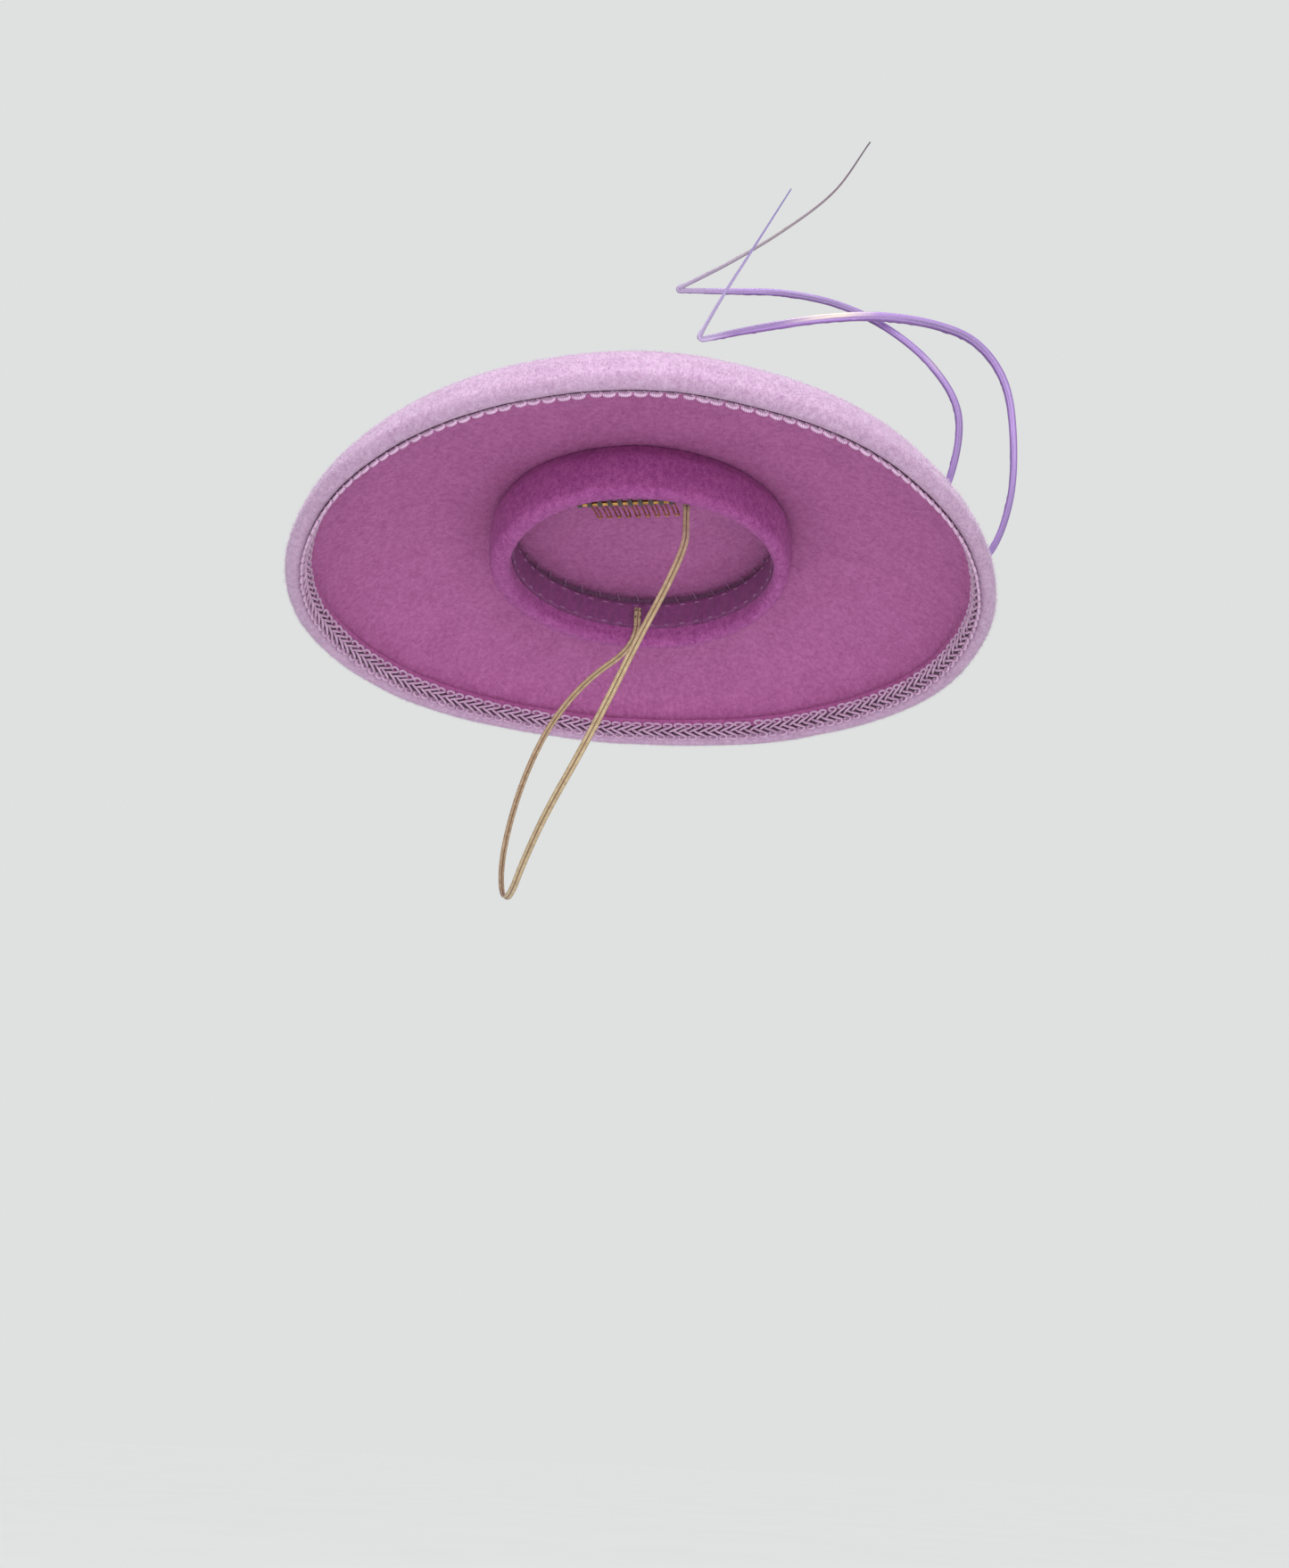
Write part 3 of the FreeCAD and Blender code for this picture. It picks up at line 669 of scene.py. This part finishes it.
def brim_section():
    """The felt's closed section: over the top, round the roll, up the hem and back under."""
    hem_lip, hem_end, raw_middle, hem_back_end, hem_back, inner_lip, outer_lip = [
        section_point(edge_centre, radius, angle)
        for radius, angle in (
            (hem_arc, EDGE_ANGLE),
            (hem_arc + RAW_EDGE, HEM_ANGLE),
            (hem_arc + FELT / 2, HEM_ANGLE - RAW_EDGE_ANGLE),
            (hem_arc + FELT - RAW_EDGE, HEM_ANGLE),
            (hem_arc + FELT, EDGE_ANGLE),
            (EDGE_ARC - FELT, EDGE_ANGLE),
            (EDGE_ARC, EDGE_ANGLE),
        )
    ]
    under = []
    for centre, arc, start, end, steps in reversed(brim_arcs):
        under.extend(section_arc(centre, arc - FELT, end, start, steps))
    return [
        *(point for arc in brim_arcs for point in section_arc(*arc)),
        *section_line(outer_lip, outer_lip + lip_run, 2),
        *section_arc(roll_centre, ROLL, EDGE_ANGLE, EDGE_ANGLE + 180, 14),
        *section_line(hem_lip + lip_run, hem_lip, 2),
        *section_arc(edge_centre, hem_arc, EDGE_ANGLE, HEM_ANGLE + RAW_EDGE_ANGLE, 4),
        hem_end,
        raw_middle,
        hem_back_end,
        *section_arc(edge_centre, hem_arc + FELT, HEM_ANGLE + RAW_EDGE_ANGLE, EDGE_ANGLE, 4),
        *section_line(hem_back, hem_back + lip_run, 2),
        *section_arc(roll_centre, ROLL - FELT, EDGE_ANGLE + 180, EDGE_ANGLE, 6),
        *section_line(inner_lip + lip_run, inner_lip, 2),
        *under,
        section_point(crown_centre, CROWN_ARC - FELT, 0),
    ]


def felt_skin(point):
    """Settles a point of the brim, and adds the felt's small lumps."""
    settled = settle(point)
    lumps = noise.noise(settled * 160) * 0.12 * MM + noise.noise(settled * 420) * 0.06 * MM
    return settled + UP * lumps


def make_brim():
    """The felt's underside has a darker, more saturated copy of its colour: painted shade."""
    build = Build()
    build.lathe(brim_section(), BRIM_COLUMNS, felt_skin)
    piece = build.piece("brim", "root", brim_felt, "brim_felt", ["crown_felt"])
    piece.data.materials.append(brim_underside_painted_shade)
    for face in piece.data.polygons:
        row = min(build.marks[index][2] for index in face.vertices)
        face.material_index = int(row > UNDERSIDE_SHARE)
    return piece


def make_wire(name, node, centre, radius, warp):
    """A ring of millinery wire that follows the shape of the felt round it."""
    build = Build()
    build.hoop([warp(on_circle(*centre, turn)) for turn in turns(WIRE_COLUMNS)], radius, 8)
    build.piece(name, "root", steel, "millinery_wire", [node])


NAP_WIDTH = 0.05 * MM
NAP_ROOT = 0.1 * MM
# Beyond this radius the crown's nap is the longer one of the margin, paler as painted highlight.
NAP_MARGIN = 112 * MM
NAP_COUNT = 48000
RING_NAP_COUNT = 36000
PATCH_NAP_COUNT = 1500


def make_nap(name, felt, material, slot, count, length, chosen):
    """Short loose fibres that stand out of a felt piece, on the faces that chosen(centre) picks."""
    mesh = felt.data
    build = Build()
    faces = [face for face in mesh.polygons if chosen(face.center)]
    sums = list(itertools.accumulate(face.area for face in faces))
    picks = sorted(dice.random() * sums[-1] for _ in range(count))
    number = 0
    for pick in picks:
        while sums[number] < pick:
            number += 1
        face = faces[number]
        corners = [mesh.vertices[index].co for index in face.vertices]
        u = dice.random()
        v = dice.random()
        foot = corners[0].lerp(corners[1], u).lerp(corners[-1].lerp(corners[2], u), v)
        lean = Vector((dice.gauss(0, 1), dice.gauss(0, 1), dice.gauss(0, 1)))
        heading = (face.normal * 0.75 + lean * 0.55).normalized()
        if heading.dot(face.normal) < 0.15:
            heading = (heading + face.normal * 0.6).normalized()
        reach = length * (0.35 + 0.65 * dice.random() ** 1.5)
        build.fibre(foot - face.normal * NAP_ROOT, foot + heading * reach, NAP_WIDTH)
    build.piece(name, "root", material, slot)


def brim_side(centre):
    """Which part of the brim a face is on: its edge, its margin, its crown or its underside."""
    radius = math.hypot(centre.x, centre.y)
    middle = settle(Vector((centre.x, centre.y, crown_height(radius, FELT / 2)))).z
    if radius > roll_centre[0]:
        return "edge"
    if centre.z < middle:
        return "underside"
    return "margin" if radius > NAP_MARGIN else "crown"


brim = make_brim()
make_wire("brim_wire", "rim_wire", roll_centre, RIM_WIRE, settle)


# ---- gimp braid

GIMP_LOOPS = 166
GIMP_CORD = 0.62 * MM
# The lower row's scrolls are this much longer.
GIMP_STRETCH = 1.12
CORE_THREADS = (-1.8, -1.3, -0.75, -0.25, 0.25, 0.75, 1.3, 1.8)
CORE_THREAD = 0.3 * MM
CORE_COLUMNS = 900
# The braid's middle line is this far from the roll before it is dropped towards it.
BRAID_MIDDLE = 4.65 * MM
BRAID_LIFT = 0.65 * MM
BRAID_DROP = 2.2 * MM
BRAID_DROP_ALL = 0.9 * MM
BRAID_DROP_AZIMUTH = math.radians(172)

# One scroll in the braid's plane: how far along, how far out from the middle line and how high, in mm.
SCROLL = [
    (0.9, -0.5, -0.1), (1.9, 0.1, 0.3), (3.3, 0.8, 0.65), (4.8, 1.45, 0.65), (6.2, 2.05, 0.45),
    (7.2, 2.8, 0.3), (7.0, 3.6, 0.3), (5.9, 4.15, 0.35), (4.5, 4.1, 0.35), (3.6, 3.5, 0.25),
    (3.7, 2.8, 0.05), (4.6, 2.4, -0.15),
]


def hem_point(rise, lift):
    """A point (r, z) of the hem's face, rise above the roll and lift off the felt."""
    if rise <= LIP:
        foot = section_point(edge_centre, hem_arc, EDGE_ANGLE) + lip_run * (1 - rise / LIP)
        angle = EDGE_ANGLE
    else:
        angle = EDGE_ANGLE - math.degrees((rise - LIP) / hem_arc)
        foot = section_point(edge_centre, hem_arc, angle)
    turn = math.radians(angle)
    return foot - Vector((math.sin(turn), math.cos(turn))) * lift


def braid_point(azimuth, along, out, lift):
    """A point of the braid: out is positive towards the rim. It is sewn nearest the edge on the right."""
    drop = BRAID_DROP_ALL + BRAID_DROP * smooth_share(math.cos(azimuth - BRAID_DROP_AZIMUTH), -0.8, 0.5)
    foot = hem_point(BRAID_MIDDLE - out - drop, BRAID_LIFT + lift)
    return settle(on_circle(foot[0], foot[1], azimuth - along / (roll_centre[0] - 2 * ROLL)))


def make_braid():
    """Two rows of scrolls that meet on the middle line, half a scroll apart."""
    build = Build()
    step = 2 * math.pi / GIMP_LOOPS
    for number in range(GIMP_LOOPS):
        for side, shift, stretch in ((1, 0.0, 1.0), (-1, 0.5, GIMP_STRETCH)):
            azimuth = step * (number + shift) + dice.gauss(0, 0.03) * step
            wide = (1 + dice.gauss(0, 0.04)) * MM
            points = [
                braid_point(azimuth, along * wide * stretch, side * out * wide, lift * MM)
                for along, out, lift in SCROLL
            ]
            build.tube(catmull_rom(points, 2), gimp_section)
    build.piece("gimp_braid", "root", gimp, "gimp_braid", ["rim_braid"])


def make_braid_shade_core():
    """Threads just under the scrolls, where a core would be, coloured dark as painted shade in the gaps
    between the scrolls.
    """
    build = Build()
    for out in CORE_THREADS:
        path = [braid_point(turn, 0.0, out * MM, -CORE_THREAD) for turn in turns(CORE_COLUMNS)]
        build.hoop(path, CORE_THREAD, 6)
    build.piece("gimp_core_painted_shade", "root", gimp_shade, "gimp_braid")


def gimp_section(share):
    """The cord is round, and a little thinner where it is tucked under at both ends."""
    taper = 0.8 + 0.2 * min(1.0, min(share, 1 - share) * 8)
    return circle_section(GIMP_CORD * taper, 8)


make_braid()
make_braid_shade_core()


# ---- head ring

DIMPLE = on_circle(RING_BOTTOM_RADIUS, 14 * MM, math.radians(188.7))
DIMPLE_SIZE = 2.6 * MM
DIMPLE_DEPTH = 0.9 * MM
RING_TOP = 25 * MM
RING_FULLER = 1.6 * MM
RING_RISE = 3.2 * MM
RING_RISE_WAY = on_circle(1, 0, math.radians(205))
RING_NIP = 2.6 * MM
RING_BELLY = 0.5 * MM
RING_COLUMNS = 260
SEAM_GAP = 0.05 * MM
# Share of the crown's swell at the ring's radius, which lifts the ring's top.
RING_SWELL = 0.81


def ring_section():
    """The ring's felt: up the inside of the cover, down its outside, round the roll and up the hem."""
    outer_top, inner_top = [
        Vector((radius, crown_height(radius, FELT) - SEAM_GAP))
        for radius in (RING_TOP_RADIUS, RING_TOP_RADIUS - RING_FELT)
    ]
    outer_bottom = ring_roll_centre + Vector((RING_ROLL, 0))
    inner_bottom = ring_roll_centre + Vector((RING_ROLL - RING_FELT, 0))
    hem_face = ring_roll_centre - Vector((RING_ROLL, 0))
    hem_back = ring_roll_centre - Vector((RING_ROLL - RING_FELT, 0))
    rise = Vector((0, RING_HEM_TOP - RING_ROLL))
    return [
        *section_line(inner_top, outer_top, 3),
        *section_line(outer_top, outer_bottom, 16),
        *section_arc(ring_roll_centre, RING_ROLL, 90, 270, 16),
        *section_line(hem_face, hem_face + rise, 6),
        *section_line(hem_face + rise, hem_back + rise, 3),
        *section_line(hem_back + rise, hem_back, 6),
        *section_arc(ring_roll_centre, RING_ROLL - RING_FELT, 270, 90, 8),
        *section_line(inner_bottom, inner_top, 12),
    ]


def ring_skin(point):
    """The cover is pulled round by hand: uneven, shallower on one side, nipped at the top, with a dimple."""
    radius = math.hypot(point.x, point.y)
    heading = Vector((point.x, point.y, 0)) / radius
    outside = smooth_share(radius, ring_roll_centre[0], RING_BOTTOM_RADIUS)
    swell = noise.noise(heading * 2.6 + UP * point.z * 30) * 0.5 * MM + noise.noise(point * 240) * 0.1 * MM
    nip = -RING_NIP * smooth_share(point.z, 18 * MM, 27 * MM)
    belly = RING_BELLY * math.sin(math.pi * min(1.0, max(0.0, (point.z - 2 * MM) / (20 * MM))))
    fuller = RING_FULLER * (0.5 + 0.6 * heading.y)
    rise = RING_RISE * smooth_share(heading.dot(RING_RISE_WAY), -0.5, 0.7) * (1 - point.z / RING_TOP)
    rise += CROWN_SWELL * RING_SWELL * point.z / RING_TOP
    pit = -DIMPLE_DEPTH * math.exp(-(((point - DIMPLE).length / DIMPLE_SIZE) ** 2))
    return point + UP * rise + heading * (swell + nip + belly + pit + fuller) * outside


def make_ring():
    build = Build()
    build.lathe(ring_section(), RING_COLUMNS, ring_skin)
    return build.piece("ring_cover", "root", ring_felt, "ring_felt", ["ring_felt"])


PETERSHAM_RIBS = 420
PETERSHAM_RIB = 0.12 * MM
PETERSHAM_PICOT = 0.18 * MM


def make_petersham():
    """The ribbon inside the ring: fine upright ribs and scalloped edges."""
    build = Build()
    outer = PETERSHAM_RADIUS
    inner = PETERSHAM_RADIUS - PETERSHAM_THICKNESS
    section = [
        *section_line(Vector((outer, PETERSHAM_LOW)), Vector((outer, PETERSHAM_HIGH)), 3),
        Vector((outer, PETERSHAM_HIGH)),
        *section_line(Vector((inner, PETERSHAM_HIGH)), Vector((inner, PETERSHAM_LOW)), 8),
        Vector((inner, PETERSHAM_LOW)),
    ]
    build.lathe(section, PETERSHAM_RIBS * 4, petersham_skin)
    build.piece("petersham", "root", petersham_weave, "petersham", ["petersham_ribbon"])


def petersham_skin(point):
    """The ribs are on the ribbon's inner face, and the scallops at both edges."""
    radius = math.hypot(point.x, point.y)
    azimuth = math.atan2(point.y, point.x)
    heading = Vector((point.x, point.y, 0)) / radius
    rib = PETERSHAM_RIB * math.cos(azimuth * PETERSHAM_RIBS)
    share = (PETERSHAM_RADIUS - radius) / PETERSHAM_THICKNESS
    middle = (PETERSHAM_LOW + PETERSHAM_HIGH) / 2
    picot = math.copysign(PETERSHAM_PICOT, point.z - middle) * math.cos(azimuth * PETERSHAM_RIBS / 2)
    edge = smooth_share(abs(point.z - middle), 5.5 * MM, 6.5 * MM)
    return point - heading * rib * share + UP * picot * edge


ring = make_ring()
make_petersham()
make_wire("ring_edge_wire", "ring_wire", ring_roll_centre, RING_WIRE, ring_skin)
for side, material, length in (
    ("edge", brim_down_painted_highlight, 1.9 * MM),
    ("margin", brim_down_painted_highlight, 1.8 * MM),
    ("crown", brim_felt, 1.3 * MM),
    ("underside", brim_underside_painted_shade, 0.9 * MM),
):
    chosen = lambda centre, side=side: brim_side(centre) == side
    make_nap("brim_nap_" + side, brim, material, "brim_felt", NAP_COUNT, length, chosen)
make_nap("ring_nap", ring, ring_felt, "ring_felt", RING_NAP_COUNT, 1.0 * MM, lambda at: at.z < 24 * MM)


# ---- comb lashing and elastic ends

LASHING_THREAD = 0.2 * MM
LASHING_LOOP = COMB_BAR + 0.22 * MM + LASHING_THREAD
LASHING_LOOPS = 5
LASHING_STEPS = 22
LASHING_LENGTH = 1.9 * MM
# The loops go this deep into the ring's felt.
LASHING_DEPTH = 0.6 * MM


def make_lashing():
    """Brown thread wound round the comb's bar between the teeth, and through the ring's felt."""
    build = Build()
    centre = on_circle(COMB_DISTANCE, COMB_HEIGHT, COMB_AZIMUTH)
    outward = on_circle(1, 0, COMB_AZIMUTH)
    sideways = on_circle(1, 0, COMB_AZIMUTH + math.pi / 2)
    felt_radius = ring_roll_centre[0] - RING_ROLL + LASHING_DEPTH
    count = LASHING_LOOPS * LASHING_STEPS
    for number in range(COMB_TEETH + 1):
        middle = (number - COMB_TEETH / 2) * COMB_PITCH
        points = []
        for k in range(count + 1):
            turn = 2 * math.pi * k / LASHING_STEPS
            along = middle + (k / count - 0.5) * LASHING_LENGTH + dice.gauss(0, 0.02) * MM
            reach = math.sqrt(felt_radius**2 - along**2) - COMB_DISTANCE - LASHING_LOOP
            out = LASHING_LOOP * math.cos(turn)
            if out > 0:
                out += max(0.0, reach) * min(1.0, math.cos(turn) * 1.6)
            points.append(centre + sideways * along + outward * out + UP * LASHING_LOOP * math.sin(turn))
        build.thread(points, LASHING_THREAD, 6)
    build.piece("comb_thread_wraps", "root", brown_thread, "comb_thread", ["comb_lashing"])


# The two layers of the elastic's folded end are this far apart.
END_FOLD = 1.25 * MM


def make_elastic_end(name, node, side):
    """The elastic's end: up the ribbon, folded over at the top and sewn down on itself."""
    build = Build()
    low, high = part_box(node)
    inward = Vector((-side, 0, 0))
    across = ELASTIC_ROUTE[0][1] * MM
    wall = Vector((side * (max(abs(low.x), abs(high.x)) - 0.55 * MM), across, 0))
    start = Vector(ELASTIC_ROUTE[0] if side < 0 else ELASTIC_ROUTE[-1]) * MM
    fold = inward * END_FOLD
    top = high.z - 0.6 * MM
    path = [
        start,
        Vector((start.x, across, low.z + 1.5 * MM)),
        wall + fold + UP * (low.z + 3.5 * MM),
        wall + fold + UP * (top - 0.7 * MM),
        wall + fold / 2 + UP * top,
        wall + UP * (top - 0.7 * MM),
        wall + UP * (low.z + 3 * MM),
        wall + UP * (low.z + 0.6 * MM),
    ]
    middle = wall + fold / 2

    def facing(point):
        if point.z > top - 0.8 * MM:
            return point - (middle + UP * (top - 0.8 * MM))
        return inward if (point - middle).dot(inward) > 0 else -inward

    build.tube(catmull_rom(path, 6), end_section, facing=facing)
    build.piece(name, "root", elastic_weave, "elastic", [node])


def end_section(share):
    """The band, a little wider and flatter where it is sewn down."""
    return [(x * 1.08, y * 0.95) for x, y in band_section()]


make_lashing()
make_elastic_end("elastic_end_right", "elastic_tab_right", -1)
make_elastic_end("elastic_end_left", "elastic_tab_left", 1)


# ---- quills

# From the roots, in mm. The lower stretches are up to 3.6 mm to the side of the CAD's route.
TALL_QUILL_ROUTE = [
    (30, -83, 26.9), (17, -98, 25.6), (3, -114, 31), (-14, -127.5, 43.5), (-29, -134, 61.5),
    (-41, -133, 84), (-47.5, -119, 102), (-50.5, -98, 116), (-50.5, -75, 125), (-47, -50, 129.5),
    (-41.5, -25, 130), (-35, 6, 127), (-48, -25, 141), (-60, -47, 154), (-72, -66, 169),
    (-85, -78.5, 188),
]
LOW_QUILL_ROUTE = [
    (33, -86, 26.2), (19, -101, 24.6), (5, -121, 20.5), (-9, -142, 19), (-20.5, -154.5, 28),
    (-34, -159, 48), (-47, -156, 72), (-56, -149, 93), (-61, -135, 107), (-61, -117, 113.5),
    (-58.5, -92, 115.5), (-54.5, -66, 112.5), (-49, -38, 106), (-42, -9, 96.5), (-54, -21, 117),
    (-65, -31, 135), (-79.5, -44, 158.5),
]
# Width in mm at shares of the shaft's length.
TALL_WIDTHS = [(0, 2.7), (0.3, 3.3), (0.62, 3.1), (0.69, 2.4), (0.72, 1.9), (0.85, 1.3), (1, 0.6)]
LOW_WIDTHS = [(0, 2.8), (0.3, 3.1), (0.6, 4.2), (0.7, 3.9), (0.79, 2.9), (0.82, 1.6), (0.9, 1.1), (1, 0.55)]
QUILL_SIDES = 18
# The flat, grooved back of both shafts is turned to the wearer's right.
QUILL_FACE = Vector((-0.91, 0.16, -0.39))


def quill_path(route, kink, fold_radius, tuck):
    """Smooth on both sides of the kink, whose tip is tucked in from the route's corner to the CAD's arc."""
    points = [Vector(point) * MM for point in route]
    corner = points[kink]
    arriving = (corner - points[kink - 1]).normalized()
    leaving = (points[kink + 1] - corner).normalized()
    half_turn = arriving.angle(leaving) / 2
    setback = 0.45 * min((corner - points[kink - 1]).length, (points[kink + 1] - corner).length)
    radius = setback / math.tan(half_turn)
    inward = (leaving - arriving).normalized()
    corner += inward * tuck * (radius - fold_radius) * (1 / math.cos(half_turn) - 1)
    setback = fold_radius * math.tan(half_turn)
    centre = corner + inward * fold_radius / math.cos(half_turn)
    start = corner - arriving * setback
    axis = arriving.cross(leaving)
    steps = 12
    bend = [centre + Quaternion(axis, 2 * half_turn * k / steps) @ (start - centre) for k in range(1, steps)]
    first = catmull_rom(points[:kink] + [start], 14)
    second = catmull_rom([corner + leaving * setback] + points[kink + 1 :], 16)
    return first + bend + second, len(first) + steps // 2


def make_quill(name, node, route, kink, fold_radius, tuck, widths, material):
    """A flattened shaft with a groove along its back and rough nubs where the barbs were stripped."""
    line, fold = quill_path(route, kink, fold_radius, tuck)
    lengths = [0.0]
    for a, b in zip(line, line[1:]):
        lengths.append(lengths[-1] + (b - a).length)
    total = lengths[-1]
    kink_share = lengths[fold] / total
    last = len(line) - 1

    def section(share):
        real = lengths[round(share * last)] / total
        for (low, wide), (high, narrow) in zip(widths, widths[1:]):
            if low <= real <= high:
                width = wide + (narrow - wide) * (real - low) / (high - low)
                break
        crease = math.exp(-(((real - kink_share) / 0.008) ** 2))
        half = width * MM / 2 * (1 + 0.15 * crease)
        thick = half * (0.66 - 0.2 * crease)
        outline = []
        for side, turn in enumerate(turns(QUILL_SIDES)):
            x = half * math.cos(turn)
            y = thick * math.sin(turn)
            if y > 0:
                y -= thick * 0.42 * math.exp(-((x / (half * 0.3)) ** 2))
            nub = noise.noise(Vector((real * 330, side * 0.9, kink * 1.7)))
            if math.cos(turn) < -0.6:
                x -= max(0.0, nub - 0.1) * 0.55 * MM * (width / 3)
            outline.append((x, y + nub * 0.05 * MM))
        return outline

    build = Build()
    build.tube(line, section, facing=lambda point: QUILL_FACE)
    for index, (_, around, _) in enumerate(build.marks):
        real = lengths[index // QUILL_SIDES]
        build.marks[index] = (real, around, real / total)
    build.piece(name, "quills", material, "quill", [node])


make_quill("tall_quill_shaft", "tall_quill", TALL_QUILL_ROUTE, 11, 0.6 * MM, 0.85, TALL_WIDTHS, tall_horn)
make_quill("low_quill_shaft", "low_quill", LOW_QUILL_ROUTE, 13, 1.3 * MM, 0.6, LOW_WIDTHS, low_horn)


# ---- quill tab

TAB_MIDDLE = Vector((25.5, -91, 0)) * MM
TAB_ALONG = Vector((-0.66, -0.75, 0)).normalized()
TAB_ACROSS = Vector((-TAB_ALONG.y, TAB_ALONG.x, 0))
TAB_LENGTH = 17 * MM
TAB_WIDTH = 22 * MM
TAB_FELT = 1.9 * MM
TAB_ARCH = 30.4 * MM
TAB_CORNER = 0.55
TAB_EDGE = 0.28
TAB_COLUMNS = 72
TAB_ROWS = 14
TAB_STITCHES = 9
TAB_STITCH_PITCH = 1.75 * MM


def tab_surface(along, across, depth):
    """A point of the tab; depth goes down from its upper face. The middle arches over the quills' roots."""
    foot = TAB_MIDDLE + TAB_ALONG * along + TAB_ACROSS * across
    radius = math.hypot(foot.x, foot.y)
    ground = settle(Vector((foot.x, foot.y, crown_height(radius)))).z
    arch = 1 - smooth_share(abs(across), 4.2 * MM, 8.4 * MM)
    top = ground + TAB_FELT + (TAB_ARCH - ground - TAB_FELT) * arch
    return Vector((foot.x, foot.y, top - depth))


def make_tab():
    """A rounded felt patch: rows go out over its upper face, and back in under it."""
    build = Build()
    rows = []
    for face in (0, 1):
        for number in range(TAB_ROWS):
            share = 1 - number / TAB_ROWS if face else (number + 1) / TAB_ROWS
            edge = TAB_EDGE * smooth_share(share, 0.9, 1.0)
            depth = TAB_FELT * (1 - edge if face else edge)
            row = []
            for k, turn in enumerate(turns(TAB_COLUMNS)):
                along, across = [
                    math.copysign(abs(way) ** TAB_CORNER, way) * side / 2 * share
                    for way, side in ((math.cos(turn), TAB_LENGTH), (math.sin(turn), TAB_WIDTH))
                ]
                wobble = noise.noise(Vector((along, across, face)) * 300) * 0.08 * MM
                point = tab_surface(along, across, depth + wobble)
                row.append(build.add(point, share, k / TAB_COLUMNS, face))
            rows.append(row)
    top_pole = build.add(tab_surface(0, 0, 0), 0.0, 0.0, 0.0)
    low_pole = build.add(tab_surface(0, 0, TAB_FELT), 0.0, 0.0, 1.0)
    for row, following in zip(rows, rows[1:]):
        for k in range(TAB_COLUMNS):
            after = (k + 1) % TAB_COLUMNS
            build.faces.append((row[k], following[k], following[after], row[after]))
    for k in range(TAB_COLUMNS):
        after = (k + 1) % TAB_COLUMNS
        build.faces.append((top_pole, rows[0][k], rows[0][after]))
        build.faces.append((low_pole, rows[-1][after], rows[-1][k]))
    return build.piece("quill_patch", "root", brim_felt, "brim_felt", ["quill_tab"])


def make_tab_stitches():
    """Slanted stitches over both long sides of the patch, into the crown."""
    build = Build()
    for side in (-1, 1):
        for number in range(TAB_STITCHES):
            along = (number - TAB_STITCHES // 2) * TAB_STITCH_PITCH
            across = side * (TAB_WIDTH / 2 - 1.5 * MM)
            inner = tab_surface(along, across, 0)
            outer = tab_surface(along + 0.5 * MM, across + side * 2.0 * MM, TAB_FELT)
            points = [
                inner - UP * 0.5 * MM,
                inner + UP * 0.25 * MM,
                inner.lerp(outer, 0.6) + UP * 0.75 * MM,
                outer + UP * 0.35 * MM,
                outer - UP * 0.6 * MM,
            ]
            build.thread(catmull_rom(points, 4), 0.26 * MM, 6)
    build.piece("quill_patch_stitches", "root", lilac_thread, "sewing_thread", ["quill_stitches"])


patch = make_tab()
make_tab_stitches()
make_nap("quill_patch_nap", patch, brim_felt, "brim_felt", PATCH_NAP_COUNT, 0.9 * MM, lambda centre: True)


# ---- CAD pieces that stay

CAD_MATERIALS = {
    "ring_core": buckram,
    "ring_stitches": lilac_thread,
    "petersham_stitches": lilac_thread,
    "elastic_stitches": brown_thread,
    "comb_bar": gold,
    "comb_teeth": gold,
}
for name, material in CAD_MATERIALS.items():
    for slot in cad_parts[name].material_slots:
        slot.material = material


# ---- room

FLOOR_HEIGHT = -0.6
FLOOR_HALF = 20.0


def make_floor():
    paint = Paint("floor", Roughness=0.9, Emission_Color=linear(238, 239, 238), Emission_Strength=0.69)
    grain = paint.noise(paint.place(), 3.0, 2.0, 0.5)
    paint.colour(paint.ramp(grain, [(0.3, (142, 144, 143)), (0.7, (148, 150, 149))]))
    mesh = bpy.data.meshes.new("floor")
    ways = ((-1, -1), (1, -1), (1, 1), (-1, 1))
    corners = [(x * FLOOR_HALF, y * FLOOR_HALF, FLOOR_HEIGHT) for x, y in ways]
    mesh.from_pydata(corners, [], [(0, 1, 2, 3)])
    mesh.materials.append(paint.material)
    place_object("floor", mesh)


def make_world():
    """Pale for the camera, and a dimmer even light for the object."""
    world = bpy.data.worlds.new("studio")
    scene.world = world
    world.use_nodes = True
    tree = world.node_tree
    seen = tree.nodes["Background"]
    seen.inputs["Color"].default_value = linear(223, 225, 224)
    lighting = tree.nodes.new("ShaderNodeBackground")
    lighting.inputs["Color"].default_value = linear(236, 240, 244)
    lighting.inputs["Strength"].default_value = 0.52
    path = tree.nodes.new("ShaderNodeLightPath")
    choice = tree.nodes.new("ShaderNodeMixShader")
    tree.links.new(path.outputs["Is Camera Ray"], choice.inputs[0])
    tree.links.new(lighting.outputs[0], choice.inputs[1])
    tree.links.new(seen.outputs[0], choice.inputs[2])
    tree.links.new(choice.outputs[0], tree.nodes["World Output"].inputs["Surface"])


def make_light(name, place, target, size, power, colour):
    data = bpy.data.lights.new(name, "AREA")
    data.size = size
    data.energy = power
    data.color = colour
    light = place_object(name, data)
    light.location = place
    light.rotation_mode = "QUATERNION"
    light.rotation_quaternion = (Vector(target) - Vector(place)).to_track_quat("-Z", "Y")


make_floor()
make_world()
make_light("key", (-0.9, 0.3, 1.3), (0, 0, 0.03), size=1.0, power=23, colour=(1.0, 0.99, 0.98))
make_light("fill", (-1.3, 0.1, -0.3), (0, 0, 0), size=0.9, power=10, colour=(1.0, 0.98, 0.98))
scene.view_settings.view_transform = "Standard"
